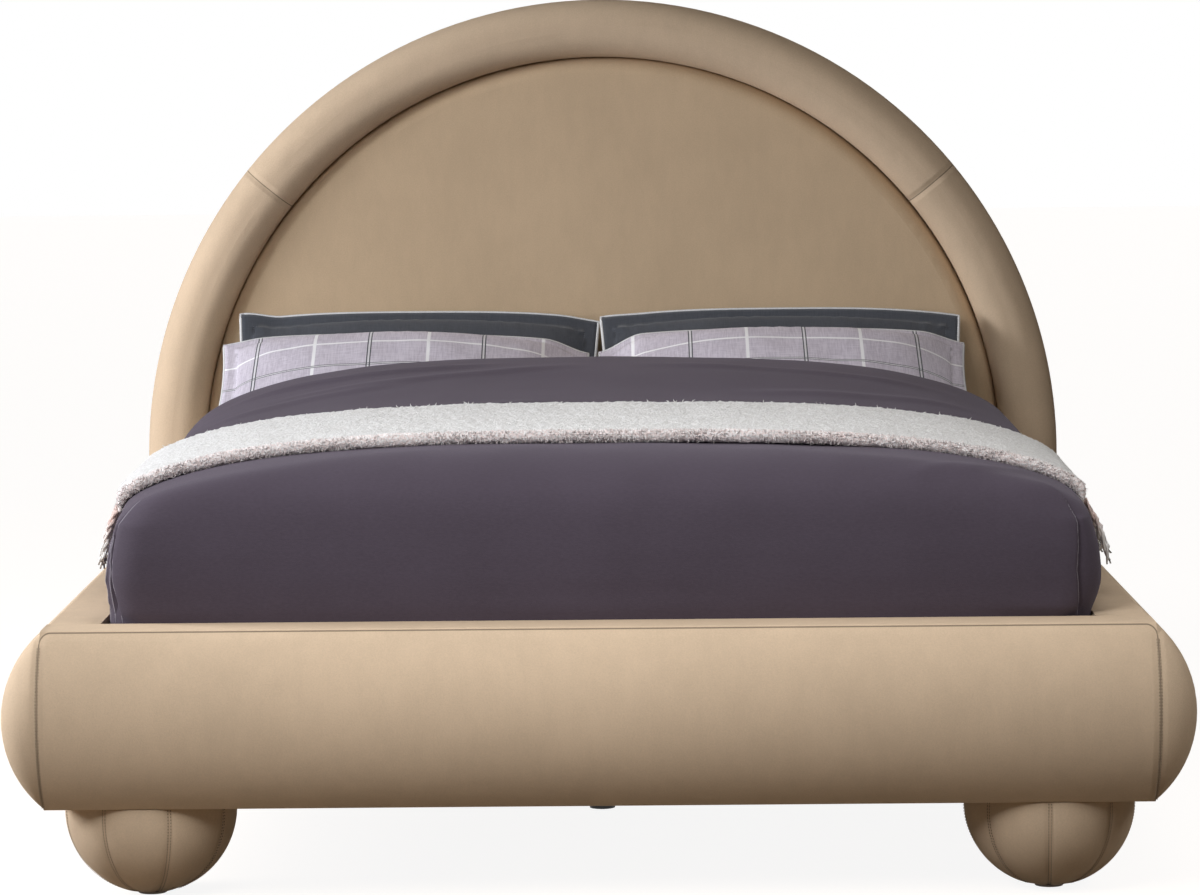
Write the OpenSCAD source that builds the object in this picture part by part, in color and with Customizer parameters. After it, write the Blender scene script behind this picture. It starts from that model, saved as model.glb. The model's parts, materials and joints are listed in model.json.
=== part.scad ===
// Upholstered bed with padded bow-fronted rails, ball feet and an arched headboard with a padded roll.
// Millimetres, Z up. X runs across the bed, the foot end lies towards -Y and the headboard towards +Y.
// The origin is on the floor, under the middle of the whole bed.

/* [Mattress] */
// Width of the mattress
mattress_w = 1524; // [1370:1:1930]
// Length of the mattress
mattress_l = 2032; // [1900:1:2130]
// Thickness of the mattress
mattress_t = 280; // [220:1:340]
// Radius of the mattress corners seen from above
mattress_corner_r = 60; // [40:1:90]
// Radius of the piping round the top and bottom edges
piping_r = 6; // [4:0.5:9]
// Space between the mattress and each side rail
side_gap = 8; // [7:0.5:20]
// Space between the mattress and the foot rail
foot_gap = 8; // [7:0.5:20]
// Space between the mattress and the headboard pad
head_gap = 35; // [20:1:80]

/* [Rails] */
// Height of the padded rails
rail_h = 278; // [240:1:300]
// Depth of the flat top of a rail, out to where its bow starts
rail_top_flat = 81; // [70:1:110]
// How far the bow of a rail swells past its flat top
rail_bulge = 65; // [50:1:80]
// Radius that softens the edge between flat top and bow
rail_edge_r = 12; // [8:1:16]
// Thickness of the foam and velvet over top and bow
rail_pad_t = 20; // [12:1:28]
// Thickness of the thin cover inside and underneath
rail_skin_t = 4; // [2:0.5:6]
// Thickness of the rail boards
rail_board_t = 22; // [18:1:28]
// Thickness of the bow formers
former_t = 18; // [12:1:24]
// Diameter of the hole through each former
former_hole_d = 56; // [20:1:60]
// Distance from the mattress space to the upright seam at each foot corner
seam_out = 83; // [82:0.5:96]

/* [Slats] */
// Height of the slat tops above the underside of the rails
slat_rise = 140; // [136:1:165]
// Number of slats
slat_count = 12; // [10:1:12]
// Width of a slat
slat_w = 80; // [60:1:100]
// Thickness of a slat
slat_t = 20; // [16:1:26]
// Space between a slat's end and the rail
slat_end_gap = 1; // [0.5:0.5:4]
// Distance from the mattress space's foot end to the first slat's middle
slat_margin = 75; // [60:1:110]
// Width of the ledges that carry the slats
ledge_w = 30; // [22:1:45]
// Height of the ledges
ledge_h = 38; // [25:1:45]
// Width of the webbing that ties the slats
strap_w = 32; // [20:1:50]
// Thickness of the webbing
strap_t = 1.2; // [0.8:0.1:2]
// Distance of each webbing from the middle
strap_x = 470; // [300:1:520]

/* [Centre support] */
// Width of the centre beam
beam_w = 45; // [35:1:60]
// Height of the centre beam
beam_h = 70; // [50:1:85]
// Thickness of the steel beam hangers
hanger_t = 3; // [2:0.5:4]
// Depth of the seat of a hanger
hanger_seat = 40; // [30:1:60]
// Number of legs under the beam
leg_count = 3; // [3:1:3]
// Side of the square legs
leg_w = 50; // [40:1:60]
// Distance from the foot end to the first leg, far enough back for the foot rail to hide it
leg_front = 800; // [760:1:900]
// Distance from the last leg to the head end of the mattress space
leg_end = 360; // [250:1:600]
// Diameter of a leveller's pad
leveller_d = 44; // [34:1:50]
// Thickness of a leveller's pad
leveller_t = 8; // [6:0.5:12]
// Diameter of a leveller's threaded stem
leveller_stem_d = 8; // [6:0.5:10]
// Length of a leveller's threaded stem
leveller_stem_l = 46; // [30:1:60]
// Travel of a leveller when it is screwed out
leveller_travel = 15; // [5:1:25]

/* [Headboard] */
// Depth of the headboard from back to roll
headboard_d = 150; // [130:1:190]
// Height of the arch's centre above the floor
arch_z = 497; // [450:1:560]
// Width of the padded roll seen from the front
roll_w = 114; // [95:1:125]
// Radius of the roll's front corners
roll_r = 50; // [30:1:54]
// Angle of the roll's two seams above the level line
roll_seam_a = 39.4; // [20:0.1:60]
// Thickness of the roll's band round the frame's edge
band_t = 12; // [8:1:18]
// Distance of the inner pad's face behind the roll's face
pad_recess = 38; // [20:1:48]
// Radius of the inner pad's front edge
pad_edge_r = 34; // [15:1:45]
// Thickness of the plywood panel
panel_t = 9; // [6:1:15]
// Thickness of the wooden frame behind the panel
frame_t = 30; // [20:1:40]
// Width of the frame's posts and of its arch
frame_w = 90; // [60:1:96]
// Height of the frame's lower cross rail
lower_rail_h = 124; // [120:1:180]
// Height of the frame's upper cross rail
upper_rail_h = 70; // [50:1:100]
// Height of the upper cross rail's underside above the floor
upper_rail_z = 690; // [600:1:900]
// Width of the frame's middle upright
upright_w = 70; // [50:1:100]
// Thickness of the back cloth
cloth_t = 2; // [1:0.5:4]

/* [Feet] */
// Diameter of a ball foot
foot_d = 268; // [240:1:276]
// Height of a ball foot
foot_h = 152; // [135:1:165]
// Thickness of the velvet and foam on a foot
foot_pad_t = 12; // [6:1:20]
// Distance of a foot's centre inside the side of the mattress space
foot_in_side = 68; // [50:1:95]
// Distance of the front feet's centres inside the foot end of the mattress space
foot_in_front = 50; // [10:1:60]
// Distance of the back feet's centres from the headboard pad
foot_in_back = 33; // [25:1:70]
// Diameter of the glide under a foot
glide_d = 44; // [30:1:50]
// Thickness of the glide's disc
glide_t = 3; // [2:0.5:5]
// Diameter of the glide's stem
glide_stem_d = 8; // [5:0.5:12]
// Length of the glide's stem
glide_stem_l = 40; // [20:1:60]

/* [Corner fittings] */
// Length of a corner block across the bed
block_l = 170; // [150:1:220]
// Width of a corner block along the bed
block_w = 120; // [100:1:150]
// Height of a corner block
block_h = 58; // [45:1:60]
// Diameter of the bolts
bolt_d = 8; // [6:1:10]
// Width of a bolt head across its flats
bolt_head_af = 13; // [11:1:15]
// Thickness of a bolt head
bolt_head_t = 5.5; // [4:0.5:6]
// Distance of a foot's two bolts from each other
foot_bolt_pitch = 70; // [40:1:90]
// Distance of a foot's bolts behind or before the foot's centre
foot_bolt_y = 45; // [30:1:60]
// Depth of a foot's bolts in the foot
foot_bolt_deep = 55; // [40:1:70]
// Length of each leg of the steel corner brackets
bracket_l = 70; // [50:1:80]
// Height of the corner brackets
bracket_h = 50; // [40:1:52]
// Thickness of the corner brackets
bracket_t = 3; // [2:0.5:4]
// Depth of the bracket bolts in the wood
bracket_bolt_deep = 24; // [18:1:25]

/* [Duvet] */
// Height at which the duvet's tucked skirt ends
duvet_hem_z = 342; // [310:1:390]
// Distance of the duvet's head edge from the foot end of the mattress space
duvet_l = 1630; // [1560:1:1640]
// How far the duvet swells over the rails at the foot
duvet_swell_foot = 9; // [6:0.5:16]
// How far the duvet swells over the side rails further up
duvet_swell_side = 45; // [25:1:52]
// Height of the duvet's shoulder above the mattress
duvet_shoulder = 9; // [6:0.5:20]
// Height of the duvet's crown above its shoulder at the foot
duvet_crown_foot = 101; // [80:1:130]
// Height of the duvet's crown above its shoulder under the throw's far edge
duvet_crown_mid = 103; // [80:1:130]
// Height of the duvet's crown above its shoulder over the pillows
duvet_crown_head = 149; // [142:1:170]

/* [Throw] */
// Distance of the throw's near edge from the foot end of the mattress space
throw_near = 250; // [180:1:320]
// Width of the folded throw
throw_w = 600; // [450:1:750]
// Thickness of the folded throw
throw_t = 20; // [10:1:30]
// Thickness of its hanging fringe
fringe_t = 7; // [4:0.5:10]

/* [Pillows] */
// Width of a pillow with its flange
pillow_w = 716; // [600:1:730]
// Thickness of a pillow at its crown
pillow_t = 102; // [70:1:110]
// Width of the flat flange round a pillow
flange_w = 25; // [15:1:35]
// Thickness of the flange
flange_t = 6; // [4:0.5:8]
// How far a pillow's sides pull in between its corners
pull_in = 12; // [4:1:20]
// How far a pillow's ends droop
pillow_droop = 18; // [0:1:25]
// Distance of the front pillows' lower edge from the foot end of the mattress space
front_pillow_y = 1470; // [1460:1:1490]
// Length of a front pillow along the bed
front_pillow_l = 410; // [380:1:420]
// Rise of a front pillow from its lower to its upper edge
front_pillow_rise = 186; // [180:1:200]
// Gap between the two front pillows
front_pillow_gap = 22; // [14:1:40]
// Sideways shift of the two front pillows
front_pillow_shift = -15; // [-20:1:20]
// Length of a back pillow along the bed
back_pillow_l = 383; // [360:1:395]
// Rise of a back pillow from its lower to its upper edge
back_pillow_rise = 218; // [200:1:230]
// Gap between the two back pillows
back_pillow_gap = 5; // [3:1:20]
// Sideways shift of the two back pillows
back_pillow_shift = -3.5; // [-15:0.5:15]

/* [Clearances] */
// Clearance between soft pieces and what they lie on
soft_gap = 0.4; // [0.3:0.1:1]
// Clearance between curved faces of fixed pieces
fit_gap = 0.3; // [0.2:0.05:0.6]
// Clearance round a bolt in its hole
bolt_gap = 0.2; // [0.1:0.05:0.4]
// Clearance round a leveller's stem
stem_gap = 0.05; // [0.03:0.01:0.1]

/* [Hidden] */
$fn = 96;
eps = 0.01;

// Colours of the pieces
velvet = "#b59a77";
pine = "#d8b98a";
plywood = "#c9a874";
steel = "#9aa0a6";
lining = "#3c3936";
nylon = "#222222";
ticking = "#efece6";
plum = "#4a4350";
cream = "#e0ddd6";
lilac = "#b9b4c4";
charcoal = "#3f434b";

// Plan: y is measured from the inner face of the foot rail, then moved so that the bed is centred
space_x = mattress_w / 2 + side_gap;
space_l = foot_gap + mattress_l + head_gap;
rail_t = rail_top_flat + rail_bulge;
half_w = space_x + rail_t;
roll_y = space_l - pad_recess;
back_y = roll_y + headboard_d;
shift_y = -(back_y - rail_t) / 2;

// Heights
rail_z = foot_h;
rail_top = rail_z + rail_h;
rail_mid = rail_z + rail_h / 2;
slat_top = rail_z + slat_rise;
ledge_top = slat_top - slat_t;
beam_z = ledge_top - beam_h;
mattress_z = slat_top + soft_gap;
bed_top = mattress_z + mattress_t;

// The bow of a rail is one arc from the flat top to the underside
bow_r = (pow(rail_h / 2, 2) + pow(rail_bulge, 2)) / (2 * rail_bulge);
bow_u = rail_t - bow_r;
edge_z = rail_h / 2 - rail_edge_r;
edge_u = bow_u + sqrt(pow(bow_r - rail_edge_r, 2) - pow(edge_z, 2));
edge_meet = edge_z * bow_r / (bow_r - rail_edge_r);
corner_u = edge_u;

// Headboard layers from the front panel to the back
panel_y = back_y - cloth_t - frame_t - panel_t;
frame_y = panel_y + panel_t;
cloth_y = frame_y + frame_t;
arch_r = half_w;
roll_in_r = arch_r - roll_w;
frame_r = arch_r - band_t;
pad_z = rail_top + 2;

// Feet
foot_r = foot_d / 2;
foot_x = space_x - foot_in_side;
front_foot_y = foot_in_front;
back_foot_y = space_l - foot_in_back;
core_r = foot_r - foot_pad_t - fit_gap;
block_top = rail_z + block_h;
bracket_mid = (block_top + ledge_top) / 2;
bolt_places = [bracket_l * 0.38, bracket_l * 0.8];

// Slats and legs
slat_pitch = (panel_y - 2 * slat_margin) / (slat_count - 1);
leg_pitch = (space_l - leg_front - leg_end) / (leg_count - 1);
leg_z = leveller_t + 6;
hub_af = 14;

// Runs of a module on the left and the right side
module both_sides() {
    children();
    mirror([1, 0, 0]) children();
}

// Cross-section of a rail: u outwards from the mattress space, v up from its middle height
module rail_section() {
    translate([0, -rail_h / 2])
        square([edge_u, rail_h]);
    intersection() {
        translate([bow_u, 0])
            circle(bow_r);
        translate([0, -edge_meet])
            square([rail_t, 2 * edge_meet]);
    }
    for (v = [-edge_z, edge_z])
        translate([edge_u, v])
            circle(rail_edge_r);
}

// The hollow inside that section, smaller by the pad outside and the skin elsewhere
module hollow_section(gap = 0) {
    intersection() {
        translate([bow_u, 0])
            circle(bow_r - rail_pad_t - gap);
        translate([rail_skin_t, -rail_h / 2 + rail_skin_t + gap])
            square([rail_t, rail_h - rail_skin_t - rail_pad_t - 2 * gap]);
    }
}

// Lays a section along the right rail between two places
module along_side(y0, y1) {
    translate([space_x, y1, rail_mid])
        rotate([90, 0, 0])
            linear_extrude(y1 - y0)
                children();
}

// Turns the outer part of a section round the foot corner
module round_corner() {
    translate([space_x + corner_u, -corner_u, rail_mid])
        rotate([0, 0, -90])
            rotate_extrude(angle = 90)
                intersection() {
                    translate([-corner_u, 0])
                        children();
                    translate([0, -rail_h])
                        square([rail_t, 2 * rail_h]);
                }
}

// Lays a section along the foot rail, half the length each way from the middle
module along_foot(half_l) {
    translate([0, 0, rail_mid])
        rotate([0, 0, -90])
            rotate([90, 0, 0])
                translate([0, 0, -half_l])
                    linear_extrude(2 * half_l)
                        children();
}

// Plan of one leg of the headboard roll, grown by a clearance
module roll_plan(gap = 0) {
    r = roll_r + gap;
    x0 = roll_in_r - gap;
    x1 = arch_r + gap;
    y0 = roll_y - gap;
    for (x = [x0 + r, x1 - r])
        translate([x, y0 + r])
            circle(r);
    translate([x0 + r, y0])
        square([x1 - x0 - 2 * r, r]);
    translate([x0, y0 + r])
        square([x1 - x0, panel_y - y0 - r]);
    translate([frame_r - gap, panel_y - eps])
        square([x1 - frame_r + gap, back_y - panel_y + eps]);
}

// Plain wooden parts of the rails

// Holes for one bracket, at the corner where the mattress space ends
module bracket_holes(extra = bolt_gap) {
    for (end = [[0, 1], [panel_y, -1]])
        for (d = bolt_places) {
            translate([space_x - eps, end[0] + end[1] * d, bracket_mid])
                rotate([0, 90, 0])
                    cylinder(d = bolt_d + 2 * extra, h = bracket_bolt_deep + 2 * eps);
            translate([space_x - d, end[0] + end[1] * eps, bracket_mid])
                rotate([end[1] * 90, 0, 0])
                    cylinder(d = bolt_d + 2 * extra, h = bracket_bolt_deep + 2 * eps);
        }
}

module side_board() {
    color(pine)
        difference() {
            translate([space_x + rail_skin_t, -rail_skin_t - rail_board_t, rail_z + rail_skin_t])
                cube([rail_board_t, panel_y + rail_skin_t + rail_board_t,
                      rail_h - rail_skin_t - rail_pad_t]);
            bracket_holes();
        }
}

module foot_rail_board() {
    half_l = space_x + rail_skin_t;
    color(pine)
        difference() {
            translate([-half_l, -rail_skin_t - rail_board_t, rail_z + rail_skin_t])
                cube([2 * half_l, rail_board_t, rail_h - rail_skin_t - rail_pad_t]);
            both_sides() bracket_holes();
        }
}

// One bow former: the hollow's section without the board, with a round hole
module former_section() {
    difference() {
        intersection() {
            hollow_section(fit_gap);
            translate([rail_skin_t + rail_board_t, -rail_h])
                square([rail_t, 2 * rail_h]);
        }
        translate([rail_skin_t + rail_board_t + former_hole_d * 0.75, 0])
            circle(d = former_hole_d);
    }
}

module side_formers() {
    color(plywood)
        for (i = [0:5])
            let (y = 30 + i * (roll_y - 90) / 5)
                along_side(y, y + former_t)
                    former_section();
}

module foot_rail_formers() {
    color(plywood)
        for (i = [-2:2])
            translate([i * (space_x - 60) / 2 - former_t / 2, 0, rail_mid])
                rotate([90, 0, 90])
                    linear_extrude(former_t)
                        mirror([1, 0])
                            former_section();
}

// Padded covers of the rails; the side covers wrap the foot corners with solid foam

module foot_rail_cover() {
    color(velvet)
        difference() {
            along_foot(space_x + seam_out)
                rail_section();
            along_foot(space_x + seam_out + eps)
                hollow_section();
            both_sides() {
                translate([space_x + rail_skin_t, -rail_skin_t - 1, rail_z + rail_skin_t])
                    cube([rail_board_t, rail_skin_t + 2, rail_h - rail_skin_t - rail_pad_t]);
                bracket_holes();
            }
        }
}

module side_cover() {
    color(velvet)
        difference() {
            along_side(-corner_u, panel_y)
                rail_section();
            translate([0, -rail_t - 1, rail_z - 1])
                cube([space_x + seam_out, rail_t + 1, rail_h + 2]);
            along_side(-1, panel_y + eps)
                hollow_section();
            linear_extrude(rail_top + 1)
                roll_plan(soft_gap);
            bracket_holes();
        }
    color(velvet)
        intersection() {
            round_corner()
                rail_section();
            translate([space_x + seam_out, -rail_t - 1, rail_z - 1])
                cube([rail_t, rail_t + 1, rail_h + 2]);
        }
}

// Slats, ledges and centre support

module side_ledge() {
    start = bracket_l + 12;
    color(pine)
        translate([space_x - ledge_w, start, ledge_top - ledge_h])
            cube([ledge_w, panel_y - 2 * start, ledge_h]);
}

module slat(n) {
    half_l = space_x - slat_end_gap;
    color(pine)
        translate([-half_l, slat_margin + (n - 1) * slat_pitch - slat_w / 2, ledge_top])
            cube([2 * half_l, slat_w, slat_t]);
}

module slat_straps() {
    color(lining)
        both_sides()
            translate([strap_x - strap_w / 2, slat_margin - slat_w / 2, ledge_top - strap_t])
                cube([strap_w, panel_y - 2 * slat_margin + slat_w, strap_t]);
}

module centre_beam() {
    color(pine)
        translate([-beam_w / 2, hanger_t, beam_z])
            cube([beam_w, panel_y - 2 * hanger_t, beam_h]);
}

// A folded steel shoe that holds one end of the beam; it opens towards +Y
module beam_hanger() {
    cheek_h = beam_h * 0.8;
    flange_out = 30;
    difference() {
        translate([-beam_w / 2 - flange_out, 0, beam_z - hanger_t])
            cube([beam_w + 2 * flange_out, hanger_t, cheek_h]);
        both_sides()
            for (z = [0.3, 0.75])
                translate([beam_w / 2 + flange_out / 2, -eps, beam_z - hanger_t + z * cheek_h])
                    rotate([-90, 0, 0])
                        cylinder(d = 5, h = hanger_t + 2 * eps, $fn = 24);
    }
    translate([-beam_w / 2 - hanger_t, 0, beam_z - hanger_t])
        cube([beam_w + 2 * hanger_t, hanger_seat, hanger_t]);
    both_sides()
        translate([beam_w / 2, 0, beam_z - hanger_t])
            cube([hanger_t, hanger_seat, cheek_h]);
}

module beam_hangers() {
    color(steel) {
        beam_hanger();
        translate([0, panel_y, 0])
            mirror([0, 1, 0])
                beam_hanger();
    }
}

module centre_legs() {
    chamfer = 6;
    color(pine)
        for (i = [0:leg_count - 1])
            translate([0, leg_front + i * leg_pitch, 0])
                difference() {
                    translate([0, 0, leg_z])
                        linear_extrude(beam_z - leg_z)
                            intersection() {
                                square(leg_w, center = true);
                                rotate(45)
                                    square((leg_w - chamfer / 2) * sqrt(2), center = true);
                            }
                    translate([0, 0, leg_z - eps])
                        cylinder(d = leveller_stem_d + 2 * stem_gap,
                                 h = leveller_stem_l - (leg_z - leveller_t) + 2);
                }
}

// A screw-in foot: round pad, hexagonal hub and stem
module leveller(n) {
    rim = 1.5;
    color(nylon)
        translate([0, leg_front + (n - 1) * leg_pitch, 0]) {
            cylinder(d = leveller_d, h = leveller_t - rim);
            translate([0, 0, leveller_t - rim])
                cylinder(d1 = leveller_d, d2 = leveller_d - 2 * rim, h = rim);
            translate([0, 0, leveller_t])
                cylinder(d = hub_af / cos(30), h = leg_z - leveller_t - fit_gap, $fn = 6);
            translate([0, 0, leveller_t])
                cylinder(d = leveller_stem_d, h = leveller_stem_l);
        }
}

// Corner blocks, brackets and bolts

// Puts one foot's pieces at a front and a back corner; the second is turned end for end
module at_feet() {
    translate([foot_x, front_foot_y, 0])
        children();
    translate([foot_x, back_foot_y, 0])
        children();
}

module foot_bolt_holes(gap) {
    for (dx = [-0.5, 0.5])
        translate([dx * foot_bolt_pitch, foot_bolt_y, rail_z - foot_bolt_deep])
            cylinder(d = bolt_d + 2 * gap, h = foot_bolt_deep + block_h + eps);
}

module corner_blocks() {
    color(pine)
        both_sides()
            difference() {
                for (y = [0, panel_y - block_w])
                    translate([space_x - block_l, y, rail_z])
                        cube([block_l, block_w, block_h]);
                at_feet() foot_bolt_holes(bolt_gap);
            }
}

// One folded angle at the foot corner of the mattress space
module corner_bracket() {
    difference() {
        translate([space_x - bracket_l, 0, bracket_mid - bracket_h / 2])
            difference() {
                cube([bracket_l, bracket_l, bracket_h]);
                translate([-eps, bracket_t, -eps])
                    cube([bracket_l - bracket_t + eps, bracket_l, bracket_h + 2 * eps]);
            }
        for (d = bolt_places) {
            translate([space_x - bracket_t - eps, d, bracket_mid])
                rotate([0, 90, 0])
                    cylinder(d = bolt_d + 2 * bolt_gap, h = bracket_t + 2 * eps);
            translate([space_x - d, -eps, bracket_mid])
                rotate([-90, 0, 0])
                    cylinder(d = bolt_d + 2 * bolt_gap, h = bracket_t + 2 * eps);
        }
    }
}

module bolt(length) {
    cylinder(d = bolt_head_af / cos(30), h = bolt_head_t, $fn = 6);
    translate([0, 0, -length])
        cylinder(d = bolt_d, h = length + eps);
}

module corner_bolt_set() {
    length = bracket_t + bracket_bolt_deep - 1;
    for (d = bolt_places) {
        translate([space_x - bracket_t, d, bracket_mid])
            rotate([0, -90, 0])
                bolt(length);
        translate([space_x - d, bracket_t, bracket_mid])
            rotate([-90, 0, 0])
                bolt(length);
    }
}

// Repeats a foot-corner piece at all four corners of the mattress space
module four_corners() {
    both_sides() {
        children();
        translate([0, panel_y, 0])
            mirror([0, 1, 0])
                children();
    }
}

// Headboard

// Outline that is round above the arch's centre and straight below it, seen from the front
module arch_outline(r, bottom) {
    intersection() {
        circle(r, $fn = 180);
        translate([-r, 0])
            square([2 * r, r]);
    }
    translate([-r, bottom - arch_z])
        square([2 * r, arch_z - bottom + eps]);
}

// Extrudes a front view backwards from y
module upright_plate(y, t) {
    translate([0, y + t, arch_z])
        rotate([90, 0, 0])
            linear_extrude(t)
                children();
}

module headboard_panel() {
    color(plywood)
        difference() {
            upright_plate(panel_y, panel_t)
                arch_outline(frame_r - fit_gap, rail_z + rail_skin_t);
            both_sides() bracket_holes();
        }
}

module headboard_arch() {
    color(pine)
        upright_plate(frame_y, frame_t)
            difference() {
                intersection() {
                    circle(frame_r - fit_gap, $fn = 180);
                    translate([-frame_r, 0])
                        square([2 * frame_r, frame_r]);
                }
                circle(frame_r - frame_w, $fn = 180);
            }
}

module headboard_posts() {
    color(pine)
        both_sides()
            translate([frame_r - frame_w, frame_y, rail_z + rail_skin_t])
                cube([frame_w - fit_gap, frame_t, arch_z - rail_z - rail_skin_t]);
}

module headboard_cross_rails() {
    in_x = frame_r - frame_w;
    color(pine) {
        difference() {
            translate([-in_x, frame_y, rail_z + rail_skin_t])
                cube([2 * in_x, frame_t, lower_rail_h]);
            both_sides() bracket_holes();
        }
        upright_plate(frame_y, frame_t)
            intersection() {
                circle(in_x - fit_gap, $fn = 180);
                translate([-in_x, upper_rail_z - arch_z])
                    square([2 * in_x, upper_rail_h]);
            }
    }
}

module headboard_upright() {
    low = rail_z + rail_skin_t + lower_rail_h;
    in_r = frame_r - frame_w;
    color(pine)
        upright_plate(frame_y, frame_t)
            difference() {
                intersection() {
                    circle(in_r - fit_gap, $fn = 180);
                    translate([-upright_w / 2, low - arch_z])
                        square([upright_w, in_r - low + arch_z]);
                }
                translate([-upright_w, upper_rail_z - arch_z])
                    square([2 * upright_w, upper_rail_h]);
            }
}

// Half of the pad's section: u from the middle outwards, v forwards from the panel
module pad_section() {
    r = roll_in_r - soft_gap;
    t = panel_y - space_l;
    square([r - pad_edge_r, t]);
    square([r, t - pad_edge_r]);
    translate([r - pad_edge_r, t - pad_edge_r])
        circle(pad_edge_r);
}

module headboard_pad() {
    r = roll_in_r - soft_gap;
    color(velvet) {
        translate([0, panel_y, arch_z])
            rotate([90, 0, 0])
                rotate_extrude(angle = 180, $fn = 180)
                    intersection() {
                        pad_section();
                        square([r, headboard_d]);
                    }
        translate([0, 0, pad_z])
            linear_extrude(arch_z - pad_z)
                both_sides()
                    translate([0, panel_y])
                        mirror([0, 1])
                            pad_section();
    }
}

// The roll's section for turning round the arch's centre: radius and depth forwards of the back
module roll_turn_section() {
    translate([0, back_y])
        mirror([0, 1])
            roll_plan();
}

module roll_arc(from, to) {
    translate([0, back_y, arch_z])
        rotate([90, 0, 0])
            rotate([0, 0, from])
                rotate_extrude(angle = to - from, $fn = 180)
                    roll_turn_section();
}

module roll_side() {
    color(velvet) {
        roll_arc(0, roll_seam_a);
        translate([0, 0, rail_z])
            linear_extrude(arch_z - rail_z)
                roll_plan();
    }
}

module roll_crown() {
    color(velvet)
        roll_arc(roll_seam_a, 180 - roll_seam_a);
}

module headboard_back_cloth() {
    color(velvet)
        upright_plate(cloth_y, cloth_t)
            arch_outline(frame_r - fit_gap, rail_z + rail_skin_t);
}

// Ball feet, centred on their own axis

module foot_cover() {
    color(velvet)
        difference() {
            translate([0, 0, foot_r])
                sphere(foot_r, $fn = 128);
            translate([0, 0, foot_r])
                sphere(core_r + fit_gap, $fn = 128);
            translate([-foot_d, -foot_d, foot_h])
                cube(2 * foot_d);
            translate([-foot_d, -foot_d, glide_t - 2 * foot_d])
                cube(2 * foot_d);
            cylinder(d = glide_stem_d + 2 * fit_gap, h = foot_r, $fn = 32);
        }
}

module foot_cores() {
    color(pine)
        both_sides()
            at_feet()
                difference() {
                    translate([0, 0, foot_r])
                        sphere(core_r, $fn = 128);
                    translate([-foot_d, -foot_d, foot_h])
                        cube(2 * foot_d);
                    foot_bolt_holes(bolt_gap);
                    cylinder(d = glide_stem_d + 2 * fit_gap, h = glide_t + glide_stem_l + 1, $fn = 32);
                }
}

module foot_bolts() {
    color(steel)
        both_sides()
            at_feet()
                for (dx = [-0.5, 0.5])
                    translate([dx * foot_bolt_pitch, foot_bolt_y, block_top])
                        bolt(block_h + foot_bolt_deep - 2);
}

module foot_glides() {
    color(nylon)
        both_sides()
            at_feet() {
                cylinder(d = glide_d, h = glide_t);
                cylinder(d = glide_stem_d, h = glide_t + glide_stem_l);
            }
}

// Mattress: a bordered block with piping round its top and bottom edges

module rounded_rect(half_x, y0, y1, r) {
    for (x = [-half_x + r, half_x - r], y = [y0 + r, y1 - r])
        translate([x, y])
            circle(r);
    translate([-half_x + r, y0])
        square([2 * half_x - 2 * r, y1 - y0]);
    translate([-half_x, y0 + r])
        square([2 * half_x, y1 - y0 - 2 * r]);
}

module piping_loop(half_x, y0, y1, r) {
    in_r = mattress_corner_r - r;
    x = half_x - mattress_corner_r;
    ym = [y0 + mattress_corner_r, y1 - mattress_corner_r];
    for (s = [-1, 1]) {
        translate([s * (half_x - r), ym[0], 0])
            rotate([-90, 0, 0])
                cylinder(r = r, h = ym[1] - ym[0], $fn = 32);
        translate([-x, s < 0 ? y0 + r : y1 - r, 0])
            rotate([0, 90, 0])
                cylinder(r = r, h = 2 * x, $fn = 32);
    }
    for (q = [[x, ym[1], 0], [-x, ym[1], 90], [-x, ym[0], 180], [x, ym[0], 270]])
        translate([q[0], q[1], 0])
            rotate([0, 0, q[2]])
                rotate_extrude(angle = 90)
                    translate([in_r, 0])
                        circle(r, $fn = 32);
}

module mattress() {
    inset = 2;
    y0 = foot_gap;
    y1 = foot_gap + mattress_l;
    color(ticking) {
        translate([0, 0, mattress_z])
            linear_extrude(mattress_t)
                rounded_rect(mattress_w / 2 - inset - piping_r, y0 + inset + piping_r,
                             y1 - inset - piping_r, mattress_corner_r - piping_r);
        translate([0, 0, mattress_z + piping_r])
            linear_extrude(mattress_t - 2 * piping_r)
                rounded_rect(mattress_w / 2 - inset, y0 + inset, y1 - inset, mattress_corner_r);
        for (z = [mattress_z + piping_r, mattress_z + mattress_t - piping_r])
            translate([0, 0, z])
                piping_loop(mattress_w / 2, y0, y1, piping_r);
    }
}

// Soft forms: closed sheets between an outer and an inner grid of points

function flatten(grid) = [for (row = grid) each row];

// Faces of a closed sheet of n by m points outside, then as many inside
function sheet_faces(n, m) = let (o = n * m) [
    for (i = [0:n - 2], j = [0:m - 2])
        each let (a = i * m + j, b = a + 1, c = a + m + 1, d = a + m)
            [[a, b, c], [a, c, d], [o + a, o + c, o + b], [o + a, o + d, o + c]],
    for (i = [0:n - 2])
        each let (a = i * m, d = a + m) [[a, d, o + d], [a, o + d, o + a]],
    for (i = [0:n - 2])
        each let (a = i * m + m - 1, d = a + m) [[a, o + a, o + d], [a, o + d, d]],
    for (j = [0:m - 2])
        each let (a = j, b = a + 1) [[a, o + a, o + b], [a, o + b, b]],
    for (j = [0:m - 2])
        each let (a = (n - 1) * m + j, b = a + 1) [[a, b, o + b], [a, o + b, o + a]]
];

// Pillows: u runs from -1 to 1 across, s from 0 at the lower edge to 1 at the upper edge

function swell(u, s) = pow(max(0, 1 - u * u), 0.9) * pow(max(0, 1 - pow(abs(2 * s - 1), 3)), 0.55);

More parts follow.
